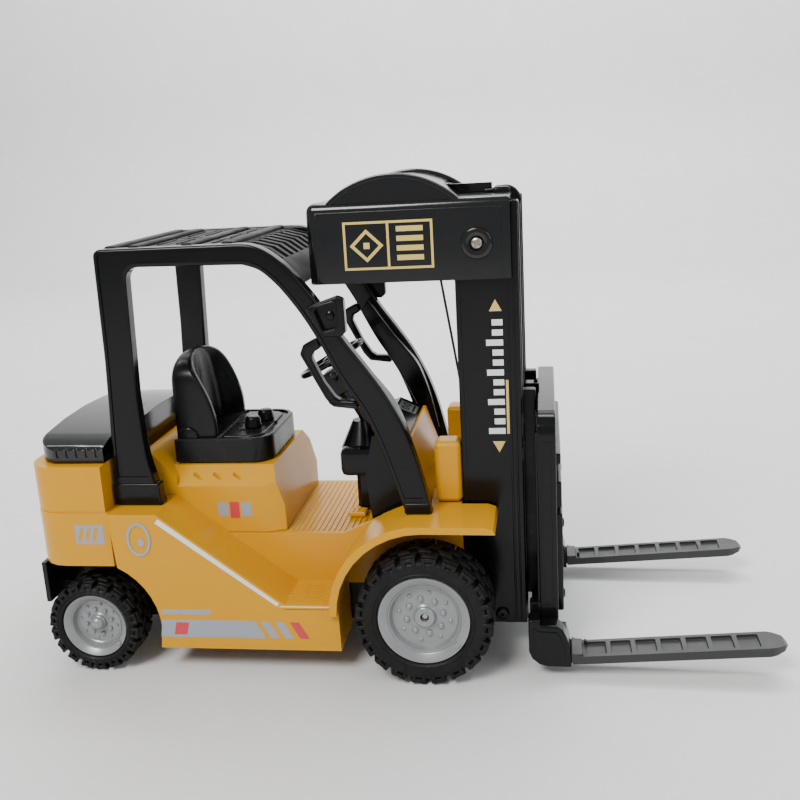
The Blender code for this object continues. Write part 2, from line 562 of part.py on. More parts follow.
for nm, sd in (("right", -1), ("left", 1)):
    def span(a, b):
        return tuple(sorted((sd * a, sd * b)))

    slide = box((50, 61.7), span(16, 21.6), (22, 119.5))
    for lo, hi in ((22, 46), (98, 119.5)):
        join(slide, box((33, 52.2), span(16, 30.8), (lo, hi)))
    node(slide, "slide_" + nm, BLACK, 0.4)
    hook = slab([[(57, 27), (57, 12), (58.4, 8.6), (61.4, 6), (65, 5), (75.2, 5), (75.2, 9),
                  (74.6, 14), (73.3, 19), (71.5, 22.5), (69, 24.4), (62, 24.4), (62, 27)]], "XZ",
                *span(50.5, FORK_Y + FORK_W / 2))
    join(hook, slab([[(61.4, 19.4), (61.4, 6), (65, 5), (75.2, 5), (75.2, 9), (74.6, 14),
                      (73.2, 19.4)]], "XZ", *span(FORK_Y - FORK_W / 2, 51)))
    node(hook, "fork_hook_" + nm, BLACK, 0.35)
    fork_line = [(75.5, 6.5), (77, 6.6), (158, 12.2), (163.5, 13.4), (165, 14.8),
                 (163.5, 16.0), (158, 16.2), (80, 10.4), (77.5, 11), (75.5, 12)]
    fork = slab([fork_line], "XZ", *span(FORK_Y - FORK_W / 2, FORK_Y + FORK_W / 2))
    tip = slab([[(60, sd * (FORK_Y - 8))] + [(155, sd * (FORK_Y - 8)), (162, sd * (FORK_Y - 5.4)),
                (165.5, sd * FORK_Y), (162, sd * (FORK_Y + 5.4)), (155, sd * (FORK_Y + 8)),
                (60, sd * (FORK_Y + 8))]], "XY", 0, 50)
    keep(fork, tip)
    for k in range(7):
        fx0 = 81.5 + 10.6 * k
        zz = 10.4 + (fx0 + 4.4 - 80) * 5.8 / 78
        cut(fork, box((fx0, fx0 + 8.6), span(FORK_Y - 5.4, FORK_Y + 5.4), (zz - 1.2, zz + 5)))
    node(fork, "fork_" + nm, BLACK, 0.35)

# ---- origins and shading --------------------------------------------------------------
for nm, (jx, jz) in (("front_axle", FRONT_AXLE), ("rear_axle", REAR_AXLE),
                     ("top_pulley", TOP_PULLEY), ("low_pulley", LOW_PULLEY),
                     ("winding_drum", DRUM_C)):
    set_origin(parts.objects[nm], jx, 0, jz)
for o in parts.objects:
    smooth(o)
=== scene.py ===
"""Looks of the toy forklift truck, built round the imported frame.

Sizes are in millimetres and go through MM. +X runs to the fork tips, +Y to the truck's left and
+Z up, with the ground at zero. The right side (-Y) faces the camera.
"""
from math import asin, atan2, cos, hypot, pi, radians, sin, tan

import bmesh
import bpy
from mathutils import Matrix, Vector


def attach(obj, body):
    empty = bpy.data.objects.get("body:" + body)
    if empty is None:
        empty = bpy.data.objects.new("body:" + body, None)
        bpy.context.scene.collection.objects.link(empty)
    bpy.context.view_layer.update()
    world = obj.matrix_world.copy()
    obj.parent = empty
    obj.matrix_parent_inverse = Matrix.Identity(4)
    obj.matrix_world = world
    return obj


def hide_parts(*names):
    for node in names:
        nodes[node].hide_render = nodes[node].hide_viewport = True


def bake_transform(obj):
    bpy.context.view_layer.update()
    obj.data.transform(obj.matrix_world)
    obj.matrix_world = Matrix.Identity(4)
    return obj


MM = 0.001
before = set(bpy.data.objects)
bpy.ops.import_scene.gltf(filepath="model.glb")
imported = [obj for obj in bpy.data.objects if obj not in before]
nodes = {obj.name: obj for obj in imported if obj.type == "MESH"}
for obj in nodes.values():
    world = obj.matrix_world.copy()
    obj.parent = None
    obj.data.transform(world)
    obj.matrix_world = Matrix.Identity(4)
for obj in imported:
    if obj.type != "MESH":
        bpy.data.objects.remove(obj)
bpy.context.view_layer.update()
SIDES = (("right", -1), ("left", 1))


# ---- materials ----
class Shader:
    """A node material built from short calls: each makes a node and returns its output."""

    def __init__(self, name):
        self.material = bpy.data.materials.new(name)
        self.material.use_nodes = True
        self.tree = self.material.node_tree
        self.bsdf = self.tree.nodes["Principled BSDF"]
        coords = self.add("TexCoord")
        self.place = coords.outputs["Object"]

    def add(self, kind):
        return self.tree.nodes.new("ShaderNode" + kind)

    def wire(self, value, socket):
        if isinstance(value, bpy.types.NodeSocket):
            self.tree.links.new(value, socket)
        elif isinstance(value, (tuple, list)) and len(value) == 3 and socket.type == "RGBA":
            socket.default_value = (*value, 1.0)
        else:
            socket.default_value = value

    def set(self, **values):
        for key, value in values.items():
            self.wire(value, self.bsdf.inputs[key.replace("_", " ")])

    def noise(self, size, detail=3.0, rough=0.55, stretch=None):
        """Noise between about 0.3 and 0.7 with features of this size in millimetres."""
        place = self.place
        if stretch:
            m = self.add("Mapping")
            m.inputs["Scale"].default_value = stretch
            self.tree.links.new(place, m.inputs["Vector"])
            place = m.outputs["Vector"]
        n = self.add("TexNoise")
        n.inputs["Scale"].default_value = 1.0 / (size * MM)
        n.inputs["Detail"].default_value = detail
        n.inputs["Roughness"].default_value = rough
        self.tree.links.new(place, n.inputs["Vector"])
        return n.outputs["Fac"]

    def remap(self, value, lo, hi, to_lo, to_hi):
        n = self.add("MapRange")
        self.wire(value, n.inputs["Value"])
        for key, v in (("From Min", lo), ("From Max", hi), ("To Min", to_lo), ("To Max", to_hi)):
            n.inputs[key].default_value = v
        return n.outputs["Result"]

    def mix(self, factor, a, b):
        n = self.add("Mix")
        n.data_type = "RGBA"
        self.wire(factor, n.inputs[0])
        self.wire(a, n.inputs[6])
        self.wire(b, n.inputs[7])
        return n.outputs[2]

    def maths(self, operation, a, b):
        n = self.add("Math")
        n.operation = operation
        self.wire(a, n.inputs[0])
        self.wire(b, n.inputs[1])
        return n.outputs["Value"]

    def upness(self):
        """How far the surface faces up, from 0 to 1."""
        g = self.add("NewGeometry")
        s = self.add("SeparateXYZ")
        self.tree.links.new(g.outputs["Normal"], s.inputs["Vector"])
        return self.remap(s.outputs["Z"], 0.2, 1.0, 0.0, 1.0)

    def bump(self, height, depth, below=None):
        """Bump of this depth in millimetres, on top of another bump's output."""
        n = self.add("Bump")
        n.inputs["Strength"].default_value = 1.0
        n.inputs["Distance"].default_value = depth * MM
        self.tree.links.new(height, n.inputs["Height"])
        if below is not None:
            self.tree.links.new(below, n.inputs["Normal"])
        return n.outputs["Normal"]


def scaled(colour, k):
    return tuple(min(1.0, c * k) for c in colour)


def plastic(name, colour, rough,
            mottle=0.06, grain=0.012, coat=0.0, dust_and_highlight=0.0, sheen=0.5, dust_and_highlight_colour=(0.45, 0.43, 0.40)):
    """Moulded plastic: slow colour drift, hand smudges in the gloss, fine mould grain, and pale dust on
    upward faces; on the forks this pale top layer is raised so that it also paints the highlight their
    top faces catch.
    """
    s = Shader(name)
    drift = s.remap(s.noise(38, 2.0), 0.35, 0.65, 0.0, 1.0)
    base = s.mix(drift, scaled(colour, 1 - mottle), scaled(colour, 1 + mottle))
    smudge = s.noise(14, 4.0, 0.6)
    roughness = s.remap(smudge, 0.3, 0.7, rough * 0.8, rough * 1.25)
    # Pale specks on upward faces: real dust, and on the forks also a painted highlight.
    if dust_and_highlight:
        specks = s.remap(s.noise(1.3, 5.0, 0.7), 0.5, 0.72, 0.0, 1.0)
        cover = s.maths("MULTIPLY", s.upness(), s.remap(s.noise(30, 3.0), 0.35, 0.65, 0.3, 1.0))
        amount = s.maths("MULTIPLY", cover, s.remap(specks, 0.0, 1.0, dust_and_highlight * 0.4, dust_and_highlight))
        base = s.mix(amount, base, dust_and_highlight_colour)
        roughness = s.maths("ADD", roughness, s.maths("MULTIPLY", amount, 0.5))
    skin_grain = s.bump(s.noise(0.55, 2.0), grain)
    s.set(Base_Color=base, Roughness=roughness, Normal=s.bump(s.noise(9, 2.0), grain * 4, skin_grain))
    s.set(Specular_IOR_Level=sheen, Coat_Weight=coat, Coat_Roughness=0.08)
    return s.material


def painted(name, colour, rough, metal=0.0, speckle=0.05):
    """Sprayed paint: fine metallic-looking speckle and a slightly uneven gloss."""
    s = Shader(name)
    fleck = s.remap(s.noise(0.35, 2.0, 0.5), 0.3, 0.7, 0.0, 1.0)
    s.set(Base_Color=s.mix(fleck, scaled(colour, 1 - speckle), scaled(colour, 1 + speckle)),
          Roughness=s.remap(s.noise(8, 3.0), 0.3, 0.7, rough * 0.85, rough * 1.2),
          Metallic=metal, Normal=s.bump(s.noise(0.8, 2.0), 0.01))
    return s.material


def rubber(name):
    """Soft black tyre rubber with patches of dusty bloom."""
    s = Shader(name)
    bloom = s.remap(s.noise(5, 5.0, 0.65), 0.42, 0.7, 0.0, 0.35)
    s.set(Base_Color=s.mix(bloom, (0.005, 0.005, 0.005), (0.018, 0.0175, 0.017)),
          Roughness=s.remap(s.noise(3, 4.0), 0.3, 0.7, 0.42, 0.62),
          Normal=s.bump(s.noise(0.5, 3.0), 0.03))
    s.set(Specular_IOR_Level=0.2)
    return s.material


def nickel(name):
    s = Shader(name)
    s.set(Base_Color=(0.42, 0.38, 0.32),
          Metallic=1.0, Roughness=s.remap(s.noise(0.9, 4.0), 0.3, 0.7, 0.24, 0.42),
          Normal=s.bump(s.noise(0.5, 3.0, 0.5, (1, 12, 1)), 0.006))
    return s.material


def braid(name):
    """Thin black cord: crossed strands along its run."""
    s = Shader(name)
    waves = []
    for direction in ("X", "Z"):
        w = s.add("TexWave")
        w.bands_direction = direction
        w.inputs["Scale"].default_value = 320.0
        w.inputs["Distortion"].default_value = 2.0
        s.tree.links.new(s.place, w.inputs["Vector"])
        waves.append(w.outputs["Fac"])
    strands = s.maths("MULTIPLY", *waves)
    s.set(Base_Color=s.mix(strands, (0.006, 0.006, 0.006), (0.03, 0.03, 0.03)),
          Roughness=0.75, Normal=s.bump(strands, 0.08))
    return s.material


YELLOW = plastic("yellow_plastic", (0.585, 0.275, 0.005), 0.22, mottle=0.012, grain=0.003, sheen=0.20)
BLACK = plastic("black_gloss", (0.0036, 0.0038, 0.0040), 0.17, grain=0.003, sheen=0.22)
SATIN = plastic("black_satin", (0.0052, 0.0053, 0.0056), 0.28, grain=0.008, dust_and_highlight=0.012, sheen=0.24)
GLOSS = plastic("black_polished", (0.0044, 0.0046, 0.0048), 0.13, grain=0.003, sheen=0.5)
ROOF = plastic("black_roof", (0.0042, 0.0043, 0.0045), 0.42, grain=0.008, sheen=0.10)
# Fork plastic is lighter than the other blacks and carries more pale on its upward faces: partly real
# dust, partly a painted highlight for the light its top faces catch.
FORK = plastic("black_fork", (0.016, 0.0165, 0.017), 0.36, grain=0.008, dust_and_highlight=0.04, sheen=0.5)
SILVER = painted("silver_paint", (0.25, 0.26, 0.265), 0.33, metal=0.35)
RUBBER = rubber("tyre_rubber")
STEEL = nickel("nickel_plate")
CORD = braid("black_cord")
# White for the printed marks, also used for the painted highlight strips on the flanks' edges.
WHITE_PRINT_AND_HIGHLIGHT = painted("white_print_and_highlight", (0.72, 0.73, 0.72), 0.35)
PRINT_GREY = painted("print_grey", (0.27, 0.29, 0.33), 0.38)
PRINT_DIM = painted("print_dim", (0.045, 0.047, 0.050), 0.42)
PRINT_RED = painted("print_red", (0.50, 0.035, 0.045), 0.38)
PRINT_GOLD = painted("print_gold", (0.62, 0.46, 0.13), 0.34)


# ---- places that several sections share, as (x, z) ----
FRONT_AXLE, REAR_AXLE = (13.0, 30.0), (-139.5, 22.0)
DOME, DRUM, SCREW = (4.0, 175.0), (2.8, 190.0), (39.0, 186.0)
TOP_PULLEY, LOW_PULLEY = (50.0, 201.0), (46.0, 28.0)
COIL_R, WRAP_R = 13.4, 5.9          # cord centre on the drum and on the pulleys
CORD_R = 0.6
FLANK, SEAT_BOX_SIDE, WEIGHT_SIDE, MAST_SIDE, WINCH_SIDE = 61.95, 35.75, 59.98, 33.98, 36.48


def shift(x, y, z):
    """Move by millimetres."""
    return Matrix.Translation((x * MM, y * MM, z * MM))


# ---- shape tools ----
def linked(name, mesh):
    o = bpy.data.objects.new(name, mesh)
    bpy.context.scene.collection.objects.link(o)
    return o


def from_bmesh(bm, name="shape", outwards=True):
    if outwards:
        bmesh.ops.recalc_face_normals(bm, faces=bm.faces)
    me = bpy.data.meshes.new(name)
    bm.to_mesh(me)
    bm.free()
    return linked(name, me)


def bake(o):
    """Apply the modifiers and the transform, so that the place is in the mesh."""
    bpy.context.view_layer.update()
    dg = bpy.context.evaluated_depsgraph_get()
    me = bpy.data.meshes.new_from_object(o.evaluated_get(dg))
    me.transform(o.matrix_world)
    new = linked(o.name, me)
    bpy.data.objects.remove(o, do_unlink=True)
    return new


def skin(node):
    """An editable copy of a CAD node with its flat faces made whole."""
    bm = bmesh.new()
    bm.from_mesh(nodes[node].data)
    bmesh.ops.remove_doubles(bm, verts=bm.verts, dist=0.002 * MM)
    bmesh.ops.dissolve_limit(bm, angle_limit=radians(0.8), verts=bm.verts, edges=bm.edges)
    me = bpy.data.meshes.new(node)
    bm.verts.index_update()
    me.from_pydata([v.co[:] for v in bm.verts], [], [[v.index for v in f.verts] for f in bm.faces])
    bm.free()
    return linked(node + "_skin", me)


def combine(o, op, tools):
    for t in tools:
        m = o.modifiers.new(op, "BOOLEAN")
        m.operation = op
        m.solver = "EXACT"
        m.object = t
    o = bake(o)
    for t in tools:
        bpy.data.objects.remove(t, do_unlink=True)
    return o


def cut(o, *tools):
    return combine(o, "DIFFERENCE", tools)


def weld(o, *tools):
    return combine(o, "UNION", tools)


def merged(parts):
    """Several meshes as one object, left as separate shells."""
    bm = bmesh.new()
    for p in parts:
        p = bake(p)
        bm.from_mesh(p.data)
        bpy.data.objects.remove(p, do_unlink=True)
    return from_bmesh(bm, "merged", outwards=False)


def soften(o, width, segments=2, angle=32):
    """Rounded edges with clean shading on the flats."""
    b = o.modifiers.new("edges", "BEVEL")
    b.width = width * MM
    b.segments = segments
    b.limit_method = "ANGLE"
    b.angle_limit = radians(angle)
    b.use_clamp_overlap = True
    b.miter_outer = "MITER_ARC"
    return o


def shade(o, angle=38):
    o.data.shade_smooth()
    o.data.set_sharp_from_angle(angle=radians(angle))
    w = o.modifiers.new("shading", "WEIGHTED_NORMAL")
    w.keep_sharp = True
    return o


def box(x, y, z, bevel=0.0, segments=2):
    """Block from (lo, hi) pairs with rounded edges."""
    bm = bmesh.new()
    bmesh.ops.create_cube(bm, size=1.0)
    o = from_bmesh(bm, "block")
    size = [(b - a) * MM for a, b in (x, y, z)]
    mid = [(a + b) / 2 * MM for a, b in (x, y, z)]
    o.data.transform(Matrix.Translation(mid) @ Matrix.Diagonal((*size, 1)))
    if bevel:
        soften(o, bevel, segments)
        o = bake(o)
    return o


def turned(profile, centre, axis="Y", segments=64, side=1, closed=False):
    """Turned shape: profile is (radius, offset along the axis outwards) from end to end."""
    bm = bmesh.new()
    rings = []
    for r, h in profile:
        if r < 1e-6:
            rings.append([bm.verts.new((0, 0, h))])
        else:
            rings.append([bm.verts.new((r * cos(2 * pi * k / segments),
                                        r * sin(2 * pi * k / segments), h)) for k in range(segments)])
    pairs = list(zip(rings, rings[1:])) + ([(rings[-1], rings[0])] if closed else [])
    for a, b in pairs:
        for k in range(segments):
            n = (k + 1) % segments
            if len(a) == 1:
                bm.faces.new((a[0], b[k], b[n]))
            elif len(b) == 1:
                bm.faces.new((a[k], a[n], b[0]))
            else:
                bm.faces.new((a[k], a[n], b[n], b[k]))
    o = from_bmesh(bm, "turned")
    turn = {"Y": Matrix.Rotation(-side * pi / 2, 4, "X"),
            "X": Matrix.Rotation(pi / 2, 4, "Y"), "Z": Matrix.Identity(4)}[axis]
    o.data.transform(shift(*centre) @ turn @ Matrix.Diagonal((MM, MM, MM, 1)))
    return o


def disc(centre, r, lo, hi, axis="Y", segments=48, edge=0.0):
    """Short cylinder between two offsets on its axis, with an edge radius."""
    if edge:
        prof = [(0, hi), (r - edge, hi), (r - edge * 0.3, hi - edge * 0.3), (r, hi - edge),
                (r, lo + edge), (r - edge * 0.3, lo + edge * 0.3), (r - edge, lo), (0, lo)]
    else:
        prof = [(0, hi), (r, hi), (r, lo), (0, lo)]
    return turned(prof, centre, axis, segments)


def fillet(points, radius, steps=4):
    """Round an outline's corners. radius is one value or one for each point."""
    out = []
    n = len(points)
    for i, p in enumerate(points):
        r = radius[i] if isinstance(radius, (list, tuple)) else radius
        a, b = Vector(points[i - 1]), Vector(points[(i + 1) % n])
        p = Vector(p)
        u, v = (a - p), (b - p)
        la, lb = u.length, v.length
        u.normalize()
        v.normalize()
        angle = u.angle(v)
        if r <= 0 or angle > pi - 0.08:
            out.append(tuple(p))
            continue
        t = min(r / tan(angle / 2), la * 0.48, lb * 0.48)
        r = t * tan(angle / 2)
        mid = (u + v).normalized() * (r / sin(angle / 2))
        start, end = p + u * t - (p + mid), p + v * t - (p + mid)
        a0 = atan2(start.y, start.x)
        sweep = (atan2(end.y, end.x) - a0 + pi) % (2 * pi) - pi
        for k in range(steps + 1):
            a1 = a0 + sweep * k / steps
            out.append((p.x + mid.x + r * cos(a1), p.y + mid.y + r * sin(a1)))
    return out


def flowing(points, steps=5):
    """Smooth open line through the points."""
    ends = [points[0]] + list(points) + [points[-1]]
    out = []
    for p0, p1, p2, p3 in zip(ends, ends[1:], ends[2:], ends[3:]):
        for k in range(steps):
            t = k / steps
            out.append(tuple(0.5 * (2 * b + (c - a) * t + (2 * a - 5 * b + 4 * c - d) * t * t +
                                    (3 * b - a - 3 * c + d) * t ** 3)
                             for a, b, c, d in zip(p0, p1, p2, p3)))
    return out + [tuple(points[-1])]


def arc(cx, cz, r, a0, a1, n):
    """n + 1 points on a circle, angles in degrees."""
    return [(cx + r * cos(radians(a0 + (a1 - a0) * i / n)),
             cz + r * sin(radians(a0 + (a1 - a0) * i / n))) for i in range(n + 1)]


def slab(outlines, plane, lo, hi, round_edge=0.0, steps=2):
    """Flat outline(s), the later ones holes, between lo and hi, with rounded rims.

    Plane XZ runs along Y, YZ along X and XY along Z.
    """
    cu = bpy.data.curves.new("outline", "CURVE")
    cu.dimensions = "2D"
    cu.fill_mode = "BOTH"
    cu.extrude = (hi - lo) / 2 * MM - round_edge * MM
    cu.bevel_depth = round_edge * MM
    cu.bevel_resolution = steps
    cu.offset = -round_edge * MM
    for pts in outlines:
        s = cu.splines.new("POLY")
        s.points.add(len(pts) - 1)
        for p, (a, b) in zip(s.points, pts):
            p.co = (a * MM, b * MM, 0.0, 1.0)
        s.use_cyclic_u = True
    o = linked("outline", cu)
    mid = (lo + hi) / 2 * MM
    if plane == "XZ":
        o.matrix_world = Matrix.Translation((0, mid, 0)) @ Matrix.Rotation(pi / 2, 4, "X")
    elif plane == "YZ":
        o.matrix_world = (Matrix.Translation((mid, 0, 0)) @
                          Matrix.Rotation(pi / 2, 4, "Z") @ Matrix.Rotation(pi / 2, 4, "X"))
    else:
        o.matrix_world = Matrix.Translation((0, 0, mid))
    o = bake(o)
    bm = bmesh.new()
    bm.from_mesh(o.data)
    bmesh.ops.remove_doubles(bm, verts=bm.verts, dist=0.002 * MM)
    bmesh.ops.recalc_face_normals(bm, faces=bm.faces)
    bm.to_mesh(o.data)
    bm.free()
    return o


def tube(points, r, closed=False, resolution=3, smooth=False):
    """Round bar along (x, y, z) points."""
    cu = bpy.data.curves.new("path", "CURVE")
    cu.dimensions = "3D"
    cu.bevel_depth = r * MM
    cu.bevel_resolution = resolution
    cu.use_fill_caps = not closed
    s = cu.splines.new("NURBS" if smooth else "POLY")
    s.points.add(len(points) - 1)
    for p, q in zip(s.points, points):
        p.co = (q[0] * MM, q[1] * MM, q[2] * MM, 1.0)
    s.use_cyclic_u = closed
    if smooth:
        s.use_endpoint_u = not closed
        s.order_u = 4
        cu.resolution_u = 6
    return bake(linked("path", cu))


def mirrored(half, middle=()):
    """A symmetric outline or profile from its first half; the second value changes sign."""
    return half + list(middle) + [(a, -b) for a, b in reversed(half)]


def span(side, a, b):
    """The stretch of Y between two distances from the centre plane, lowest first."""
    return tuple(sorted((side * a, side * b)))


def piece(o, name, material, body="truck", replaces=(), angle=38):
    """Finish a piece: shading, material, body, and the CAD nodes that it stands for."""
    shade(o, angle)
    o.name = name
    o.data.name = name
    o.data.materials.clear()
    o.data.materials.append(material)
    if body:
        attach(o, body)
    if replaces:
        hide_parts(*replaces)
    return o


def stand_in(o, node, material, angle=38, body="truck"):
    """Finish the piece that stands for one CAD node."""
    return piece(o, node + "_v", material, body, (node,), angle)


# ---- wheels ----
def wedge_block(bm, a0, a1, r0, r1, h0, h1, lean=0):
    """Tread block between two angles, two radii and two offsets along the axis."""
    verts = []
    for r in (r0, r1):
        for h in (h0, h1):
            for a in (a0, a1):
                turn = radians(a + lean * (h - h0) / max(abs(h1 - h0), 0.1))
                verts.append(bm.verts.new((r * cos(turn), r * sin(turn), h)))
    for f in ((0, 1, 3, 2), (4, 6, 7, 5), (0, 4, 5, 1), (2, 3, 7, 6), (0, 2, 6, 4), (1, 5, 7, 3)):
        bm.faces.new([verts[k] for k in f])


def outward(o, x, mid, z, sd):
    """Turn a shape built on +Z so that +Z points out of the truck's side."""
    o.data.transform(shift(x, mid, z) @
                     Matrix.Rotation(-sd * pi / 2, 4, "X") @ Matrix.Diagonal((MM, MM, MM, 1)))
    return o


def tread(x, mid, z, sd, radius, half, count):
    """Lugs of a tyre: arched shoulder lugs with two legs, and two rows of blocks between."""
    bm = bmesh.new()
    step = 360 / count
    low = radius - 2.3
    for side in (-1, 1):
        for k in range(count):
            a = step * (k + (0.5 if side > 0 else 0))
            wedge_block(bm, a - step * 0.36, a + step * 0.36,
                        low - 0.6, radius, side * half * 0.44, side * (half - 1.9), side * 2)
            for leg in (-1, 1):
                at = a + side * 2 + leg * step * 0.25
                wedge_block(bm, at - step * 0.11, at + step * 0.11,
                            radius - 4.9, radius - 0.8, side * (half - 2.6), side * (half - 0.15))
            wedge_block(bm, a + side * 2 - step * 0.36, a + side * 2 + step * 0.36,
                        radius - 2.5, radius - 0.7, side * (half - 2.6), side * (half - 0.5))
            b = a + step * 0.5
            wedge_block(bm, b - step * 0.31, b + step * 0.31,
                        low - 0.6, radius - 0.05, side * half * 0.04, side * half * 0.40, side * -3)
    o = outward(from_bmesh(bm, "lugs"), x, mid, z, sd)
    return bake(soften(o, 0.32, 1))


def tyre(tag, sd, axle, radius, bead, ys, count, body):
    x, z = axle
    half = (ys[1] - ys[0]) / 2
    mid = sd * (ys[0] + half)
    side_wall = [(bead, half - 2.2),
                 (bead + 0.3, half - 1.2), (bead + 1, half - 0.5), (bead + 1.7, half - 0.35),
                 (bead + 2, half - 0.6), (bead + 2.4, half - 0.35), (radius - 4.4, half - 0.3),
                 (radius - 3.4, half - 0.7), (radius - 2.6, half - 1.7), (radius - 2.3, half - 3.4)]
    profile = mirrored(side_wall, [(radius - 2.2, 0)])
    carcass = turned(profile, (x, mid, z), "Y", 96, sd, closed=True)
    stand_in(merged([carcass, tread(x, mid, z, sd, radius, half, count)]),
             "tyre_" + tag, RUBBER, 42, body=body)


def stud(x, mid, z, sd, r, angle, foot, radius, height):
    """Domed bolt head on the rim's dish."""
    prof = [(0, height),
            (radius * 0.62, height * 0.9), (radius, height * 0.45), (radius, -0.6), (0, -0.6)]
    o = turned(prof, (0, 0, 0), "Z", 14)
    o.data.transform(Matrix.Diagonal((1 / MM, 1 / MM, 1 / MM, 1)))
    o.data.transform(Matrix.Translation((r * cos(angle), r * sin(angle), foot)))
    return outward(o, x, mid, z, sd)


def rim(tag, sd, axle, outer, ys, body):
    x, z = axle
    half = (ys[1] - ys[0]) / 2
    mid = sd * (ys[0] + half)
    k = outer / 20
    lip, dish = half - 1.4, half - 6.6
    hub = 4.6 * k
    profile = [(1.95, half - 4.6), (hub - 0.5, half - 4.5), (hub, half - 5), (hub + 0.1, dish + 0.5),
               (hub + 0.7, dish), (13.4 * k, dish), (14.1 * k, dish + 0.4), (14.6 * k, dish + 1.6),
               (14.9 * k, lip - 2.4), (15.3 * k, lip - 1.9), (15.7 * k, lip - 1.75),
               (15.9 * k, lip - 2.05), (16.2 * k, lip - 1.6), (19 * k, lip - 0.15),
               (outer - 0.3, lip), (outer, lip - 0.5), (outer, 1.6 - half), (outer - 1.8, 1.6 - half),
               (15.4 * k, dish - 3.4), (hub + 1, dish - 3.4), (hub + 1, 1 - half), (1.95, 1 - half)]
    parts = [turned(profile, (x, mid, z), "Y", 96, sd, closed=True)]
    for i in range(8):
        a = 2 * pi * i / 8 + 0.2
        parts.append(stud(x, mid, z, sd, 8.1 * k, a, dish, 1.35 * k, 1.3))
        parts.append(stud(x, mid, z, sd, 11.3 * k, a + pi / 8, dish, 0.85 * k, 0.7))
    tab = bmesh.new()
    wedge_block(tab, -42, -35, 16.6 * k, 18.8 * k, lip - 1.6, lip + 0.25)
    parts.append(bake(soften(outward(from_bmesh(tab), x, mid, z, sd), 0.2, 2)))
    stand_in(merged(parts), "rim_" + tag, SILVER, 30, body=body)


for tag, sd in SIDES:
    tyre("front_" + tag, sd, FRONT_AXLE, 30, 20.05, (46, 69), 20, "front_wheels")
    rim("front_" + tag, sd, FRONT_AXLE, 20, (46, 69), "front_wheels")
    tyre("rear_" + tag, sd, REAR_AXLE, 22, 15.25, (45.5, 63.5), 18, "rear_wheels")
    rim("rear_" + tag, sd, REAR_AXLE, 15.2, (45.5, 63.5), "rear_wheels")
    cap = turned([(0, 1.6), (0.9, 1.55), (1.9, 1.2), (2.7, 0.6), (3.1, -0.1), (3.2, -0.6), (0, -0.6)],
                 (REAR_AXLE[0], sd * 59.9, REAR_AXLE[1]), "Y", 40, sd)
    stand_in(cap, "hub_cap_rear_" + tag, SILVER, 50, body="rear_wheels")
for name, (x, z), reach in (("front_axle", FRONT_AXLE, 63), ("rear_axle", REAR_AXLE, 58.5)):
    prof = mirrored([(0, reach), (1.1, reach), (1.5, reach - 0.4), (1.6, reach - 0.8)])
    stand_in(turned(prof, (x, 0, z), "Y", 32), name, STEEL, body=name.replace("_axle", "_wheels"))


# ---- bodywork ----
def plate(points, y, thick=0.14):
    """Thin slab of this outline lying on a flank at y, used for printed marks and for the painted
    highlight strips.
    """
    lo, hi = (y, y + thick) if y > 0 else (y - thick, y)
    return slab([points] if isinstance(points[0], tuple) else points, "XZ", lo, hi)


def rect(x0, x1, z0, z1, lean=0):
    return [(x0, z0), (x1, z0), (x1 + lean, z1), (x0 + lean, z1)]


def ellipse(cx, cz, a, b, n=32):
    return [(cx + a * cos(2 * pi * k / n), cz + b * sin(2 * pi * k / n)) for k in range(n)]


body = skin("body_shell")
grooves = []
for sd in (-1, 1):
    grooves.append(box((-49.8, -24), span(sd, 61.55, 63), (31.6, 32)))
body = cut(body, *grooves)
soften(body, 0.9, 3, 25)
stand_in(body, "body_shell", YELLOW, 32)

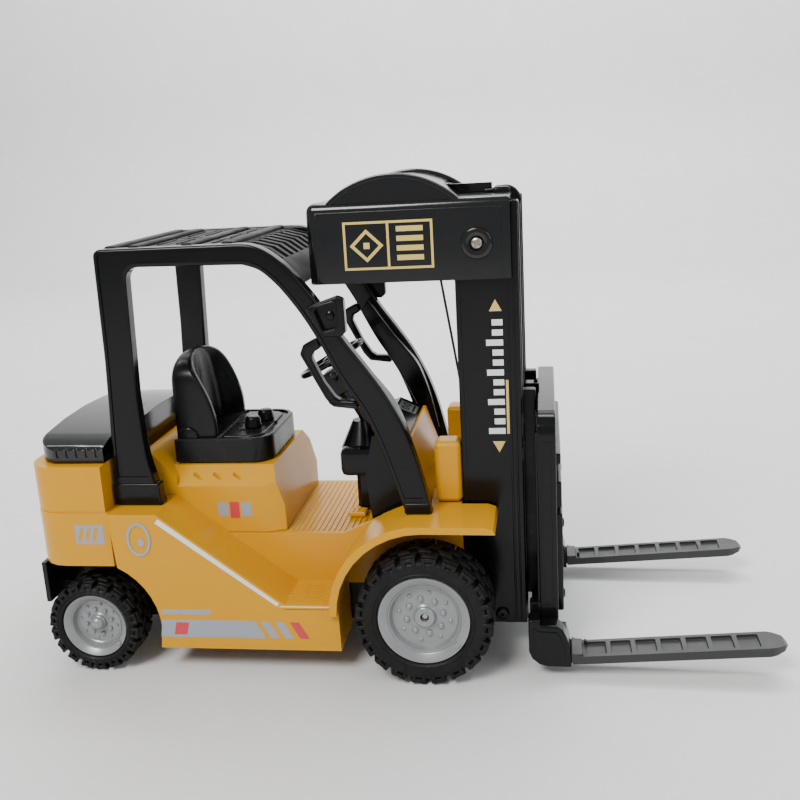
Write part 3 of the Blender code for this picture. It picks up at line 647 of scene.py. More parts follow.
ribs = [box((x - 0.55, x + 0.55), (-33.6, 33.6), (57.3, 57.95), 0.2, 1)
        for x in [-51.2 + 2.5 * k for k in range(15)]]
piece(merged(ribs), "floor_ribs", YELLOW)
for tag, sd in SIDES:
    dashes = []
    for row in range(3):
        for col in range(4):
            cx, cy = -51.5 + 6.6 * col + 0.8 * row, sd * (41.5 + 6 * row)
            d = box((-2.3, 2.3), (-0.65, 0.65), (33.8, 34.4), 0.28)
            d.data.transform(shift(cx, cy, 0) @ Matrix.Rotation(radians(-22 * sd), 4, "Z"))
            dashes.append(d)
            e = box((-2.3, 2.3), (-0.4, 0.4), (33.8, 34.3), 0.2)
            e.data.transform(shift(cx + 0.6, cy + sd * 2.6, 0) @
                             Matrix.Rotation(radians(-22 * sd), 4, "Z"))
            dashes.append(e)
    piece(merged(dashes), "step_tread_" + tag, YELLOW)

    # Painted highlight: a pale strip on the flank's sloping edge, where the chamfer catches the light,
    # and its thin run along the step's edge.
    flank = sd * FLANK
    (ax, az), (bx, bz), across = (-103.2, 74.2), (-51.6, 34.5), (0.61, 0.79)
    slope_highlight = [(ax, az), (bx, bz), (bx - 1.7 * across[0], bz - 1.7 * across[1]),
              (ax - 2.5 * across[0], az - 2.5 * across[1])]
    thin = [(-51.4, 33.3), (-26.4, 33.3), (-26.4, 32.9), (-51.4, 32.9)]
    piece(merged([plate(slope_highlight, flank), plate(thin, flank)]), "painted_highlight_" + tag, WHITE_PRINT_AND_HIGHLIGHT)
    ring = slab([ellipse(-113, 64.5, 5.6, 8), ellipse(-113, 64.5, 4.3, 6.6)],
                "XZ", *span(sd, FLANK, FLANK + 0.5), round_edge=0.12)
    inner = slab([ellipse(-112.1, 63.1, 1.6, 1.9)], "XZ", *span(sd, FLANK, FLANK + 0.3))
    grey = [[(-108, 17.5), (-58.6, 17.5), (-63.4, 26), (-106.6, 26)],
            rect(-56.6, -52.6, 17.7, 25.6, -4.4),
            rect(-50, -46, 17.7, 25.6, -4.4), rect(-107, -84, 28.6, 31, 0.8)]
    piece(merged([plate(line, flank) for line in grey] + [ring, inner]),
          "flank_marks_grey_" + tag, PRINT_GREY)
    red = [plate(rect(-43.2, -39, 17.7, 25.6, -4.4), flank),
           slab([rect(-101.5, -95.5, 18.8, 24.7, 1.4)], "XZ", *span(sd, FLANK, FLANK + 0.2))]
    piece(merged(red), "flank_marks_red_" + tag, PRINT_RED)
    near = sd * SEAT_BOX_SIDE
    blocks = [plate(rect(x0, x1, 65.4, 72), near) for x0, x1 in ((-84.5, -79.6), (-73.6, -68.6))]
    piece(merged(blocks), "seat_box_marks_grey_" + tag, PRINT_GREY)
    piece(plate(rect(-78.8, -74.4, 64.6, 72.4), near), "seat_box_mark_red_" + tag, PRINT_RED)
    plaque = plate([rect(-143.5, -130, 61.4, 70.6)] +
                   [rect(x, x + 1.7, 63, 69, 1.6) for x in (-142.2, -138.9, -135.6)], sd * WEIGHT_SIDE)
    piece(plaque, "weight_plate_" + tag, PRINT_GREY)

weight = skin("counterweight")
soften(weight, 1.7, 4, 40)
stand_in(weight, "counterweight", YELLOW, 34)

hood = skin("engine_cover")
crown = [(-54, 103.6), (-51, 105.4),
         (-40, 107.6), (-22, 109.6), (0, 110.4), (22, 109.6), (40, 107.6), (51, 105.4), (54, 103.6)]
band = [(y * 1.1, z + 3) for y, z in crown] + [(y, z - 0.5) for y, z in reversed(crown)]
shell = slab([band], "YZ", -165, -119)
outer_ring = fillet(mirrored([(-119, -38.6), (-130, -38.6), (-130, -50), (-149, -50), (-157.5, -41)]),
                    2, 3)
inner_ring = fillet(
    mirrored([(-118, -38), (-130.6, -38), (-130.6, -49.4), (-148.8, -49.4), (-156.9, -40.8)]), 2, 3)
groove = combine(slab([outer_ring, inner_ring], "XY", 95, 120), "INTERSECT", [shell])
slots = [groove]
for sd in (-1, 1):
    for x in (-150, -145.4, -140.8, -136.2, -131.6):
        slots.append(box((x - 0.6, x + 0.6), span(sd, 53.2, 58), (100.2, 108), 0.3))
hood = cut(hood, *slots)
soften(hood, 0.7, 3, 36)
stand_in(hood, "engine_cover", GLOSS, 34)
fins = [box((x - 0.7, x + 0.7), (-27, 2), (109.2, 110.5), 0.3) for x in (-135, -130.5)]
piece(merged(fins), "engine_cover_strips", BLACK)

seat_box = skin("seat_box")
slots = []
for sd in (-1, 1):
    for x in (-94, -84.5, -75):
        s = box((-2.6, 2.6), (-0.7, 0.7), (-1.2, 3), 0.3)
        s.data.transform(shift(x, sd * 32.4, 83.6) @ Matrix.Rotation(radians(sd * 32), 4, "Z"))
        slots.append(s)
seat_box = cut(seat_box, *slots)
soften(seat_box, 0.9, 3, 24)
stand_in(seat_box, "seat_box", YELLOW, 32)
for name, width in (("dash_cowl", 0.5), ("mast_bracket_right", 0.9), ("mast_bracket_left", 0.9)):
    stand_in(soften(skin(name), width, 3), name, YELLOW, 34)
pedal = soften(box((-27, -19), (-18, -11), (57.9, 60.4)), 0.7, 3)
dots = [disc((-25.2 + 2.2 * i, -16.6 + 2.1 * j, 0), 0.55, 60, 60.8, "Z", 14, 0.15)
        for i in range(3) for j in range(3)]
stand_in(merged([pedal] + dots), "pedal", YELLOW)
frame_piece = soften(skin("underframe"), 0.6, 2)
stand_in(frame_piece, "underframe", SATIN, 34)

# ---- cab ----
seat = skin("seat_base")
seat = cut(seat,
           slab([[(-86, -24.6)] + fillet([(-78, -24.6), (-62.4, -24.6), (-62.4, 24.6), (-78, 24.6)],
                                         [0, 8, 8, 0], 6) + [(-86, 24.6)]], "XY", 99.1, 102))
soften(seat, 0.9, 3, 30)
cushion = slab([fillet(rect(-84, -65, -22, 22), [1, 6, 6, 1], 5)],
               "XY", 98, 100, round_edge=0.7, steps=3)
panel = slab([fillet(rect(-80, -77, -13, 13), 1, 2)], "XY", 99.5, 100.5, round_edge=0.3)
stand_in(seat, "seat_base", SATIN, 34)
piece(merged([cushion, panel]), "seat_cushion", SATIN)


def seat_ring(z):
    """Section of the seat back at a height: flat rear, rounded sides and a channelled hollow."""
    t = max(0, (z - 121) / 17)
    half = 24 * (1 - t ** 4) ** 0.5
    rear = -106 + 1.4 * max(0, (z - 124) / 14) ** 2
    rim = -86 - 13 * max(0, (z - 104) / 33.6) ** 1.8
    mid = min(-98.6 - 2 * (z - 100) / 37, rim - 0.8)
    line = [(rear, y * (half - 3.2)) for y in (-1, -0.5, 0, 0.5, 1)]
    line += [(rear + 3.2 - 3.2 * cos(a), half - 3.2 + 3.2 * sin(a)) for a in (0.4, 0.8, 1.2, 1.57)]
    line += [(rim + (rear + 3.2 - rim) * f, half) for f in (0.6, 0.25)]
    line += [(rim - 1.7 + 1.7 * cos(a), half - 1.7 + 1.7 * sin(a)) for a in (1.3, 0.9, 0.5, 0.1, -0.2)]
    inside = max(half - 3.4, 0.5)
    count = 32
    for k in range(count + 1):
        u = 1 - 2 * k / count
        depth = mid + (rim - mid) * min(1, abs(u) ** 2.3)
        fade = min(1, (138 - z) / 12) if abs(u) < 0.84 else 0
        groove = 0.95 * max(0, cos(u * 3 * pi)) ** 3 * fade
        line.append((depth - groove, u * inside))
    line += [(x, -y) for x, y in reversed(line[5:16])]
    return line


heights = [100.3 + 35.2 * k / 26 for k in range(27)] + [136.2, 136.8, 137.3]
bm = bmesh.new()
rings = []
for n, z in enumerate(heights):
    section = seat_ring(z)
    if n == len(heights) - 1:
        cx = -101.5
        section = [(cx + (x - cx) * 0.82, y * 0.92) for x, y in section]
    rings.append([bm.verts.new((x * MM, y * MM, z * MM)) for x, y in section])
for a, b in zip(rings, rings[1:]):
    for k in range(len(a)):
        n = (k + 1) % len(a)
        bm.faces.new((a[k], a[n], b[n], b[k]))
bm.faces.new(rings[0])
top_face = bm.faces.new(rings[-1])
bmesh.ops.triangulate(bm, faces=[top_face])
back = from_bmesh(bm, "back")
ears = [turned([(0, 1), (4.2, 1), (4.9, 0.7), (5.2, 0), (5.2, -2.4), (0, -2.4)],
               (-99.8, sd * 24.4, 100), "Y", 40, sd) for sd in (-1, 1)]
stand_in(merged([back] + ears), "seat_back", SATIN, 50)
collars = []
for name, kx, ky in (("lever_knob_a", -72.5, -9), ("lever_knob_b", -70, 4)):
    prof = [(0, 106), (2.3, 105.95), (3.1, 105.6),
            (3.5, 104.9), (3.9, 102.4), (4.2, 101.6), (4.1, 100.9), (3.7, 100.4), (0, 100.4)]
    stand_in(turned(prof, (kx, ky, 0), "Z", 48), name, BLACK, 50)
    prof = [(0, 100.4), (5.2, 100.4), (5.6, 100.2), (5.6, 99), (0, 99)]
    collars.append(turned(prof, (kx, ky, 0), "Z", 40))
piece(merged(collars), "knob_collars", SATIN)

dash = soften(skin("dashboard"), 0.7, 3, 34)
stand_in(dash, "dashboard", BLACK, 36)
lean = atan2(4.8, 10.7)
gauges = []
for tag, sd in SIDES:
    face = slab([fillet(rect(-4.6, 4.6, sd * 20 - 7, sd * 20 + 7), 0.8, 3)],
                "XY", 0, 0.35, round_edge=0.1)
    dials = [[ellipse(-1.2, y, r, r, 20) for r in (2, 1.5)] for y in (sd * 20 - 3, sd * 20 + 3)]
    dials.append([rect(2.4, 3.2, sd * 20 - 5.5, sd * 20 + 5.5)])
    marks = [slab(lines, "XY", 0.3, 0.5) for lines in dials]
    at = shift(-1.6, 0, 101.05) @ Matrix.Rotation(lean, 4, "Y")
    face.data.transform(at)
    gauges.append(face)
    for m in marks:
        m.data.transform(at)
    piece(merged(marks), "gauge_marks_" + tag, BLACK)
piece(merged(gauges), "gauge_panels", PRINT_DIM)
button = disc((-21.5, -9.5, 0), 2, 87.6, 90.6, "Z", 24, 0.4)
piece(button, "dash_button", BLACK)

tilt = radians(28)
column = shift(-34, 0, 131) @ Matrix.Rotation(-tilt, 4, "Y")
ring = turned([(15.6 + 1.5 * cos(2 * pi * k / 14), 1.5 * sin(2 * pi * k / 14)) for k in range(14)],
              (0, 0, 0), "Z", 80, closed=True)
arms = [ring]
for k in range(3):
    a = radians(90 + 120 * k)
    arms.append(tube([(2 * cos(a), 2 * sin(a), -0.6), (8 * cos(a), 8 * sin(a), -0.5),
                      (15.4 * cos(a), 15.4 * sin(a), 0)], 1.25, resolution=4))
arms.append(turned([(0, 1.9), (2.4, 1.8), (3.8, 1.3), (4.4, 0.5),
                    (4.4, -2.2), (3.6, -2.8), (2, -3.2), (2, -16.4), (0, -16.4)], (0, 0, 0), "Z", 40))
pod = cut(box((-8, 5), (-7, 7), (-17, -4.2), 1.6, 3),
          turned([(0, 0), (2.4, 0), (2.4, -30), (0, -30)], (0, 0, 0), "Z", 32))
pod.data.transform(column)
stalk = tube([(-31, -6, 122), (-30, -12, 125), (-29, -19, 127.6)], 0.9, resolution=3)
tip = turned([(0, 1.6), (1.2, 1.3), (1.6, 0.4), (1.5, -2), (0, -2.2)], (-29, -19.4, 127.7), "Y", 20, -1)
piece(merged([pod, stalk, tip]), "column_shroud", SATIN)
wheel = merged(arms)
wheel.data.transform(column)
stand_in(wheel, "steering_wheel", BLACK, 50, body="steering")

# ---- overhead guard ----
front_edge = flowing(
    [(-60, 191), (-54, 190.4), (-47, 187.4), (-40, 181.6), (-33, 173.4), (-25.5, 163), (-17, 149),
     (-9.6, 138.6), (-2.4, 128), (2.6, 118.8), (6.8, 109.4), (10.6, 98), (13.8, 85), (16.5, 71.9)])
back_edge = flowing(
    [(5, 71.9), (2, 82), (-1.4, 93), (-5.4, 105), (-10.4, 117), (-15.6, 125.6), (-21, 134.6),
     (-28, 149), (-34.6, 160.6), (-41.4, 170.2), (-46.6, 176), (-51.6, 180), (-58, 182.2)])
rear_post = fillet([(-66, 182.4), (-109.6, 183), (-111.5, 126), (-110.5, 100), (-107.6, 86.6),
                    (-105, 76.3), (-127.8, 76.3), (-126, 102), (-124, 143), (-123.2, 191), (-66, 191)],
                   [0, 5.5, 60, 60, 12, 0.5, 0.5, 60, 60, 3.2, 0], 6)
side_line = front_edge + back_edge + rear_post


def inset_line(points, by):
    """The outline moved inwards by this many millimetres."""
    out = []
    for i, p in enumerate(points):
        a, b = Vector(points[i - 1]), Vector(points[(i + 1) % len(points)])
        d = (b - a).normalized()
        out.append((p[0] + d.y * by, p[1] - d.x * by))
    return out


def above_feet(points):
    """The outline ended level just over the rear foot and the front toe."""
    out = []
    for p, q in zip(points, points[1:] + points[:1]):
        level = 89.5 if p[0] < -95 else 79
        if p[1] > level:
            out.append(p)
        if (p[1] - level) * (q[1] - level) < 0:
            t = (level - p[1]) / (q[1] - p[1])
            out.append((p[0] + (q[0] - p[0]) * t, level))
    return out


rim_line = above_feet(inset_line(side_line, 1.9))
fin = flowing([(-22, 153), (-16, 144.4),
               (-10, 135.7), (-3, 126.6), (0.8, 121.2), (3.8, 115), (7, 105.6), (9.6, 95), (11.4, 86)],
              4) + flowing([(6, 86), (1.5, 96), (-4, 108), (-11, 121), (-19, 134), (-26, 148)], 4)
for tag, sd in SIDES:
    side = slab([side_line], "XZ", *span(sd, 43, 50), round_edge=1.2, steps=3)
    side = cut(side, slab([rim_line], "XZ", *span(sd, 49.4, 52)))
    side = bake(soften(side, 0.3, 2, 50))
    flange = slab([fin], "XZ", *span(sd, 36.6, 44.5), round_edge=0.9, steps=2)
    foot = box((-127.4, -105.6), span(sd, 44, 50.7), (76.3, 86.6), 1.1, 3)
    toe = box((4.6, 16.2), span(sd, 44, 50.7), (71.9, 77), 0.9, 3)
    stand_in(merged([side, flange, foot, toe]), "guard_side_" + tag, BLACK, 40)
    loop = [(-28.7, 150.6), (-35, 147.4),
            (-36.7, 143.4), (-34, 138), (-27, 124), (-23.8, 120.2), (-11.6, 118.6), (-14.1, 122.6),
            (-20.5, 123), (-22.8, 124.6), (-27, 131), (-31.6, 141.4), (-31, 144), (-27, 146.2)]
    grab = slab([fillet(loop, 1.6, 4)], "XZ", *span(sd, 44, 49.2), round_edge=1, steps=3)
    bead = [(-28.6, 149.4),
            (-34, 146.6), (-35.4, 143.4), (-32.8, 138), (-26, 124.6), (-23.2, 121.4), (-13.4, 120)]
    lip = tube([(x, sd * 49.2, z) for x, z in flowing(bead, 5)], 0.55, resolution=3)
    stand_in(merged([grab, lip]), "grab_handle_" + tag, BLACK, 46)
    hood_line = [(-30.8, 164.6),
                 (-18, 168.6), (-15, 167.4), (-14.8, 153.6), (-17, 151.6), (-24.6, 152), (-30.6, 162.4)]
    lamp = slab([fillet(hood_line, 1.8, 4)], "XZ", *span(sd, 50.3, 55.5), round_edge=1, steps=3)
    well = slab([fillet([(-27.6, 163.6), (-18.6, 166.2), (-18.8, 155.6), (-24.2, 154.2)], 1.2, 3)],
                "XZ", *span(sd, 52.9, 57))
    lamp = bake(soften(cut(lamp, well), 0.3, 2, 40))
    eye = turned([(0, 1), (1.2, 0.9), (1.8, 0.5), (1.9, -0.6), (0, -0.6)],
                 (-21.3, sd * 53.2, 160.4), "Y", 30, sd)
    rim_path = [(-28.2, 164.2), (-18, 166.9), (-18.2, 155), (-24.5, 153.5)]
    bead = tube([(x, sd * 55.4, z) for x, z in fillet(rim_path, 1.4, 3)],
                0.4, closed=True, resolution=2)
    stand_in(merged([lamp, eye, bead]), "lamp_housing_" + tag, BLACK, 44)

roof = soften(skin("guard_roof"), 0.5, 2, 30)
stand_in(roof, "guard_roof", ROOF, 34)
extras = []
for x0, x1, rows in ((-104.6, -97.4, 2), (-96.4, -88.2, 2), (-80.4, -69.8, 3)):
    wide = 78 / rows
    for j in range(rows):
        y = -39 + wide * (j + 0.5)
        extras.append(box((x0, x1), (y - wide / 2 + 1.2, y + wide / 2 - 1.2), (189.2, 190.3), 0.5))
        extras.append(box(((x0 + x1) / 2 - 0.5, (x0 + x1) / 2 + 0.5),
                          (y - wide * 0.3, y + wide * 0.3), (190, 190.8), 0.3))
extras.append(box((-124.2, -121.4), (-41, 41), (186.8, 190.4), 0.9, 3))
piece(merged(extras), "roof_ribs", ROOF)

# ---- mast ----
for tag, sd in SIDES:
    col = [(29, 22), (32, 22), (32, 31.4), (53, 31.4), (53, 22), (56, 22), (56, 34), (29, 34)]
    column = slab([[(x, sd * y) for x, y in col]], "XY", 13, 202.5)
    column = bake(soften(column, 0.7, 3, 40))
    edges = (((50.6, 51.5), (33.4, 34.35), 202, 0.28),
             ((53, 53.8), (33.4, 34.35), 202, 0.28), ((29.9, 31.2), (33.4, 34.3), 170, 0.28),
             ((55.3, 56.5), (30.4, 31.8), 202, 0.3), ((55.3, 56.5), (26.4, 27.6), 202, 0.3))
    beads = [box(x, span(sd, *y), (14, top), bevel) for x, y, top, bevel in edges]
    roller = turned([(0.9, 1), (2.4, 1), (3, 0.6), (3.2, -0.4), (0.9, -0.4)],
                    (44.8, sd * 34.1, 17.5), "Y", 32, sd, closed=True)
    stand_in(merged([column, roller] + beads), "mast_column_" + tag, BLACK, 36)
    face = sd * MAST_SIDE
    ticks = []
    for k in range(12):
        wide, z = (4.6 if k % 3 else 7.2), 103 + 4.35 * k
        ticks.append(plate(rect(48.6 - wide, 48.6, z, z + 2.6), face))
    piece(merged(ticks), "lift_scale_" + tag, WHITE_PRINT_AND_HIGHLIGHT)
    gold = [plate([(43, 157), (48.4, 157), (45.7, 162)], face),
            plate([(43, 99.6), (45.7, 94.6), (48.4, 99.6)], face),
            plate(rect(49.3, 50.4, 103, 127), face)]
    piece(merged(gold), "lift_arrows_" + tag, PRINT_GOLD)


def pulley_bar(block, centre, lugs, name):
    x, z = centre
    parts = [block]
    for s in (-1, 1):
        y = span(s, 3.5, 5.6)
        parts.append(box(lugs[0], y, lugs[1], 0.6))
        parts.append(turned([(0, 0.5), (1.2, 0.45), (1.9, 0.1), (2, -0.3), (0, -0.3)],
                            (x, s * 5.6, z), "Y", 24, s))
    parts.append(disc((x, 0, z), 1.5, -5.2, 5.2, "Y", 32))
    stand_in(merged(parts), name, SATIN, 40)


pulley_bar(box((38.5, 52), (-21.7, 21.7), (190.3, 193.6), 0.5),
           TOP_PULLEY, ((47, 53), (192, 204.2)), "mast_top_bar")
pulley_bar(box((28.7, 54), (-21.7, 21.7), (13, 18.5), 0.8),
           LOW_PULLEY, ((43, 49), (16, 31)), "mast_foot_bar")
for name, body, (x, z) in (("top_pulley", "pulley_top", TOP_PULLEY),
                           ("low_pulley", "pulley_low", LOW_PULLEY)):
    half = [(1.56, 2.9), (3.4, 2.9), (3.7, 2.6),
            (5.4, 2.6), (5.7, 2.9), (6.3, 2.9), (6.6, 2.6), (6.6, 2.1), (5.5, 1.2), (5.1, 0.6)]
    stand_in(turned(mirrored(half, [(5, 0)]), (x, 0, z), "Y", 64, 1, closed=True),
             name, SATIN, 40, body=body)
rails = []
for s in (-1, 1):
    rails.append(box((41, 46.2), span(s, 3.4, 6.6), (204.6, 206.4), 0.7))
    rails.append(box((44.6, 52.4), span(s, 3.4, 8.4), (202.6, 207.4), 1.7, 4))
piece(merged(rails), "pulley_guard", BLACK)


# ---- winch ----
def winch_half(tag, sd):
    shell = box((-33, 55.4), span(sd, -12, 36.5), (163, 205), 3.8, 5)
    top = []
    for lo, hi, r, edge in ((-1, 31.6, 39.4, 0.4), (31.1, 34.7, 41, 0.9)):
        d = disc((DOME[0], 0, DOME[1]), r, *span(sd, lo, hi), "Y", 128, edge)
        top.append(cut(d, box((-60, 60), (-60, 60), (100, 203.5))))
    shell = weld(shell, *top)
    hollow = slab([ellipse(*DOME, 37, 37, 72)], "XZ", *span(sd, -2.8, 30.8))
    rooms = (((-30.8, 70), 34.3, (173.2, 202.8)), ((28.4, 70), 34.3, (150, 180)),
             ((14, 26), 3.5, (150, 180)), ((23, 70), 3.2, (195, 209)), ((44, 70), 7.2, (195, 209)))
    far_half = box((-80, 80), span(sd, -19, 0.15), (150, 240))
    below, ahead = box((-80, 80), (-60, 60), (150, 171)), box((53, 80), (-60, 60), (150, 240))
    shell = cut(shell,
                hollow, *[box(x, span(sd, -1, y), z) for x, y, z in rooms], far_half, below, ahead)
    shell = cut(shell, disc((SCREW[0], 0, SCREW[1]), 3.2, *span(sd, 35, 39), "Y", 40))
    shell = bake(soften(shell, 0.25, 1, 50))
    boss = turned([(3.2, 1), (4.1, 1), (4.3, 1.15), (5.8, 1.15), (6.3, 0.9), (6.6, 0.4),
                   (6.6, -0.6), (3.2, -0.6)], (SCREW[0], sd * 36.5, SCREW[1]), "Y", 64, sd, closed=True)
    bearing = turned([(3.06, 35), (6, 35), (6, 30.2), (3.06, 30)],
                     (DRUM[0], 0, DRUM[1]), "Y", 40, sd, closed=True)
    ledge = tube([(x, sd * 36.4, z) for x, z in [(-29.2, 171.4), (-29.2, 199.2), (-28, 200.8)] +
                  [(48.6, 200.8), (49.4, 200), (49.4, 171.4)]], 0.28, resolution=3)
    rimline = slab([arc(*DOME, 40.6, 45, 135, 40) + arc(*DOME, 38.9, 135, 45, 40)],
                   "XZ", *span(sd, 34.5, 35.15), round_edge=0.25, steps=2)
    rimline = cut(rimline, box((-60, 60), (-60, 60), (100, 204)))
    stand_in(merged([shell, boss, bearing, ledge, rimline]), "winch_half_" + tag, GLOSS, 40)

    screw = turned([(0, 1), (1.4, 0.92), (2.2, 0.6), (2.6, 0.1), (2.7, -0.2), (2.6, -0.5), (0, -0.5)],
                   (SCREW[0], sd * 36.4, SCREW[1]), "Y", 48, sd)
    x, z = SCREW
    cross = [box((x - a, x + a), span(sd, 36.5, 38), (z - b, z + b))
             for a, b in ((1.8, 0.4), (0.4, 1.8))]
    screw = bake(soften(cut(screw, *cross), 0.06, 1, 50))
    at = shift(SCREW[0], 0, SCREW[1])
    screw.data.transform(at @ Matrix.Rotation(radians(24), 4, "Y") @ at.inverted())
    stand_in(screw, "winch_screw_" + tag, STEEL, 40)

    # Generic two-cell mark: a frame, a diamond and a stack of bars.
    y = sd * WINCH_SIDE
    frame_line = plate([rect(-17, 21, 176.6, 196.8),
                        rect(-16, 1.5, 177.6, 195.8), rect(2.5, 20, 177.6, 195.8)], y, 0.15)
    x, z = -7.2, 186.7
    diamond = plate([[(x, z + b), (x + a, z), (x, z - b), (x - a, z)]
                     for a, b in ((7.2, 6.9), (5.3, 5.1))], y, 0.15)
    bars = [plate(rect(5.6, 16.9, z, z + 2.2), y, 0.15) for z in (180.2, 184.2, 188.2, 192.2)]
    core = plate(rect(-8.5, -5.9, 185.4, 188), y, 0.15)
    piece(merged([frame_line, diamond, core] + bars), "winch_mark_" + tag, PRINT_GOLD)


for tag, sd in SIDES:
    winch_half(tag, sd)
prof = [(0, 34.2), (2.6, 34.2),
        (3, 33.8), (3, 10.5), (15.5, 10.5), (15.8, 10.2), (15.8, 9.3), (15.4, 8.9), (12.5, 8)]
stand_in(turned(mirrored(prof), (DRUM[0], 0, DRUM[1]), "Y", 72), "winding_drum", SATIN, 40, body="drum")
turns, per = 11, 20
coil = [(DRUM[0] + 13.05 * cos(2 * pi * k / per), -6.6 + 13.2 * k / (turns * per),
         DRUM[1] + 13.05 * sin(2 * pi * k / per)) for k in range(turns * per + 1)]
piece(tube(coil, 0.55, resolution=2), "drum_windings", CORD, "drum")


# ---- cord loop ----
def tangent(c0, r0, side0, c1, r1, side1):
    """Ends of the straight run between two wheels; a side is +1 or -1 of the run's direction."""
    ux, uz = c1[0] - c0[0], c1[1] - c0[1]
    a = atan2(uz, ux)
    a += asin((side1 * r1 - side0 * r0) / hypot(ux, uz))
    nx, nz = -sin(a), cos(a)
    return ((c0[0] + side0 * r0 * nx, c0[1] + side0 * r0 * nz),
            (c1[0] + side1 * r1 * nx, c1[1] + side1 * r1 * nz))


def steps(a, b, n):
    return [tuple(p + (q - p) * k / n for p, q in zip(a, b)) for k in range(n + 1)]


p0, p1 = tangent(DRUM, COIL_R, -1, TOP_PULLEY, WRAP_R, 1)
turn = atan2(p1[1] - TOP_PULLEY[1], p1[0] - TOP_PULLEY[0]) * 180 / pi
over = [(x, 0, z) for x, z in arc(*TOP_PULLEY, WRAP_R, turn, 0, 16)]
stand_in(tube(steps((p0[0], 2.2, p0[1]), over[0], 12) + over[1:], CORD_R), "cord_top", CORD, 60)
q0, q1 = tangent(DRUM, COIL_R, 1, LOW_PULLEY, WRAP_R, -1)
turn = atan2(q1[1] - LOW_PULLEY[1], q1[0] - LOW_PULLEY[0]) * 180 / pi
under = [(x, 0, z) for x, z in arc(*LOW_PULLEY, WRAP_R, turn % 360, 360, 16)]
stand_in(tube(steps((q0[0], -2.2, q0[1]), under[0], 24) + under[1:], CORD_R), "cord_rear", CORD, 60)
for name, x, z0, z1 in (("cord_lift", 55.9, 200.7, 118.3), ("cord_lower", 51.9, 28.3, 57.7)):
    run = stand_in(tube(steps((x, 0, z0), (x, 0, z1), 48), CORD_R), name, CORD, 60, body=None)
    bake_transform(run)

# ---- carriage and forks ----
outline = [(-50, 20), (-50, 105.5), (-48.6, 110.5),
           (-46, 113.5), (-42, 115.5), (42, 115.5), (46, 113.5), (48.6, 110.5), (50, 105.5), (50, 20)]
windows = [fillet(rect(y, y + 19.5, 86, 109), 1.8, 4) for y in (-43.5, -21, 1.5, 24)]
frame_line = [fillet(outline, [1.5, 0, 2, 2, 0, 0, 2, 2, 0, 1.5], 3)] + windows
rest = slab(frame_line, "YZ", 62, 70, round_edge=0.9, steps=3)
bars = (((69, 72.4), (-43.5, 43.5), (24, 69.5), 0.7, 3), ((69, 72.2), (-43.5, 43.5), (72, 84), 0.8, 3),
        ((67, 72), (-44.5, 44.5), (92, 97), 0.9, 3), ((54.4, 63), (-3.5, 3.5), (113, 118), 0.6),
        ((50.4, 63), (-3.5, 3.5), (58, 63), 0.6), ((60, 63), (-3.5, 3.5), (54, 118), 0.5))
parts = [rest] + [box(*bar) for bar in bars]
for sd in (-1, 1):
    for z in (30, 63.5):
        parts.append(turned([(0, 0.9), (1.6, 0.75), (2.2, 0.2), (2.3, -0.4), (0, -0.4)],
                            (72.3, sd * 38, z), "X", 28))
    parts.append(box((61.2, 63), span(sd, 45.4, 49.4), (24, 108), 0.6))
    parts.append(box((57.6, 62.6), span(sd, 44.4, 50), (20.4, 31), 0.7))
    parts.append(box((58, 62.6), span(sd, 15, 45), (20.4, 24), 0.6))
    side_line = fillet(rect(63.2, 68.8, 30, 104), 1.5, 3)
    hole = fillet(rect(64.2, 67.8, 31.2, 102.8), 1, 3)
    parts.append(slab([side_line, hole], "XZ", *span(sd, 49.6, 50.25), round_edge=0.2))
stand_in(merged(parts), "load_backrest", BLACK, 36, body="carriage")

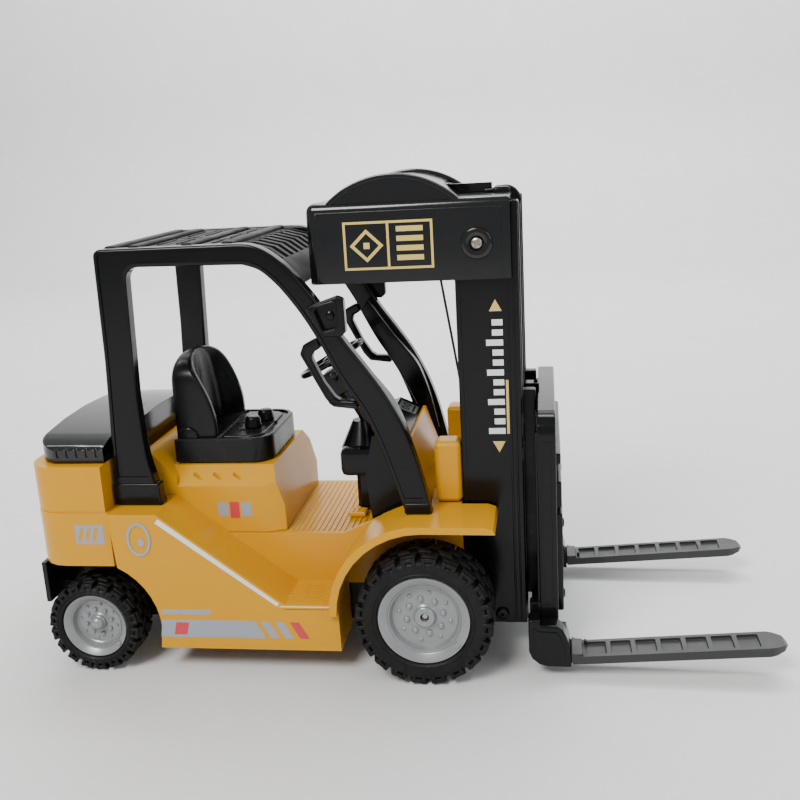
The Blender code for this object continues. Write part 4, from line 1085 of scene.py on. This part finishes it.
for tag, sd in SIDES:
    arms = [box((50, 61.7), span(sd, 16, 21.6), (22, 119.5), 0.8, 3)]
    for lo, hi in ((22, 46), (98, 119.5)):
        arms.append(box((33, 52.2), span(sd, 16, 30.8), (lo, hi), 0.9, 3))
        arms.append(turned([(0, 0.5), (2.2, 0.45), (3, 0.1), (3.1, -0.3), (0, -0.3)],
                           (42, sd * 30.8, (lo + hi) / 2), "Y", 32, sd))
    stand_in(merged(arms), "slide_" + tag, SATIN, 40, body="carriage")
    line = [(57, 27), (57, 12), (58.4, 8.6), (61.4, 6), (65, 5), (75.2, 5),
            (75.2, 9), (74.6, 14), (73.3, 19), (71.5, 22.5), (69, 24.4), (62, 24.4), (62, 27)]
    outer_hook = slab([fillet(line, [1.2, 0, 0, 0, 0, 0.8, 0, 0, 0, 0, 0, 0.3, 0.6], 3)],
                      "XZ", *span(sd, 50.5, 59.5), round_edge=1, steps=3)
    inner_hook = slab([[(61.4, 19.4), (61.4, 6), (65, 5), (75.2, 5), (75.2, 9), (74.6, 14),
                        (73.2, 19.4)]], "XZ", *span(sd, 44.5, 51.2), round_edge=0.5, steps=2)
    raised = slab([fillet([(59.2, 24.6), (59.2, 12.6), (60.6, 9.8), (65.4, 7.2),
                           (72.8, 7.2), (72.6, 12), (71, 18.6), (69.2, 21.6), (61, 22)], 0.8, 2)],
                  "XZ", *span(sd, 59.2, 59.95), round_edge=0.3, steps=2)
    stand_in(merged([outer_hook, inner_hook, raised]), "fork_hook_" + tag, BLACK, 40, body="carriage")

    tine_line = [(75.5, 6.5), (77, 6.6), (158, 12.2), (163.5, 13.4),
                 (165, 14.8), (163.5, 16), (158, 16.2), (80, 10.4), (77.5, 11), (75.5, 12)]
    tine = slab([tine_line], "XZ", *span(sd, 44.5, 59.5))
    tip = slab([[(60, sd * 44), (155, sd * 44),
                 (160, sd * 45.2), (163.4, sd * 47.6), (165.3, sd * 50.4), (165.3, sd * 53.6),
                 (163.4, sd * 56.4), (160, sd * 58.8), (155, sd * 60), (60, sd * 60)]], "XY", 0, 50)
    tine = combine(tine, "INTERSECT", [tip])
    pockets = []
    for k in range(7):
        x0 = 81.5 + 10.6 * k
        top = 10.4 + (x0 + 4.4 - 80) * 5.8 / 78
        p = box((x0, x0 + 8.6), span(sd, 46.6, 57.4), (-1.3, 5), 0.7)
        p.data.transform(shift(x0 + 4.3, 0, top) @
                         Matrix.Rotation(-atan2(5.8, 78), 4, "Y") @ shift(-(x0 + 4.3), 0, 0))
        pockets.append(p)
    tine = bake(soften(cut(tine, *pockets), 0.45, 3, 34))
    post = box((80.6, 82), span(sd, 47.2, 49), (9.6, 12.6), 0.4)
    heel = box((74.9, 80.2), span(sd, 44.8, 59.2), (6.8, 11.6), 0.8, 3)
    stand_in(merged([tine, post, heel]), "fork_" + tag, FORK, 38, body="carriage")


# ---- studio ----
def studio():
    floor_s = Shader("studio_floor")
    floor_s.set(Base_Color=floor_s.mix(floor_s.noise(60, 3.0), (0.66, 0.66, 0.65), (0.72, 0.72, 0.71)),
                Roughness=0.55, Normal=floor_s.bump(floor_s.noise(1.2, 3.0), 0.02))
    depth, height, bend, half = 1700, 1700, 350, 2600
    profile = ([(-1500, 0), (depth - bend, 0)] +
               arc(depth - bend, bend, bend, 270, 360, 12)[1:] + [(depth, height)])
    bm = bmesh.new()
    rows = [[bm.verts.new((x * MM, y * MM, z * MM)) for y, z in profile] for x in (-half, half)]
    for a in range(len(profile) - 1):
        bm.faces.new((rows[0][a], rows[1][a], rows[1][a + 1], rows[0][a + 1]))
    sweep = from_bmesh(bm, "studio_sweep", outwards=False)
    sweep.data.shade_smooth()
    sweep.data.materials.append(floor_s.material)

    world = bpy.data.worlds.new("studio")
    bpy.context.scene.world = world
    world.use_nodes = True
    back = world.node_tree.nodes["Background"]
    back.inputs["Color"].default_value = (0.93, 0.96, 1.0, 1.0)
    back.inputs["Strength"].default_value = 0.5

    def area(name, place, aim, size, power, colour=(1, 1, 1)):
        data = bpy.data.lights.new(name, "AREA")
        data.shape = "RECTANGLE"
        data.size, data.size_y = size
        data.energy = power
        data.color = colour
        o = linked(name, data)
        o.location = Vector(place)
        o.rotation_euler = (Vector(aim) - Vector(place)).to_track_quat("-Z", "Y").to_euler()

    area("key", (-0.45, -1.0, 1.2), (0.0, 0.0, 0.08), (0.6, 0.6), 25, (1.0, 0.985, 0.96))
    area("top", (0.2, 0.5, 1.5), (0.0, 0.0, 0.1), (1.4, 0.6), 15, (0.96, 0.98, 1.0))
    area("wall", (0.0, 0.75, 1.5), (0.0, 1.75, 0.45), (2.2, 0.5), 46, (0.98, 0.99, 1.0))
    area("fill", (1.2, -0.7, 0.8), (0.05, 0.0, 0.08), (0.8, 0.8), 5)


def camera():
    """Stands to the right of the truck, a little ahead of its middle, looking slightly down."""
    turn = (Matrix.Rotation(radians(8.94), 3, "Z") @
            Matrix.Rotation(radians(-14.31), 3, "X") @ Matrix.Rotation(radians(3.23), 3, "Y"))
    right, forward, up = (turn.col[k] for k in range(3))
    cam = linked("camera", bpy.data.cameras.new("camera"))
    cam.data.sensor_width = 36.0
    cam.data.lens = 44.325
    cam.data.clip_start, cam.data.clip_end = 0.01, 20.0
    m = Matrix((right, up, -forward)).transposed().to_4x4()
    cam.matrix_world = Matrix.Translation((0.0679, -0.447, 0.2256)) @ m
    bpy.context.scene.camera = cam


studio()
camera()
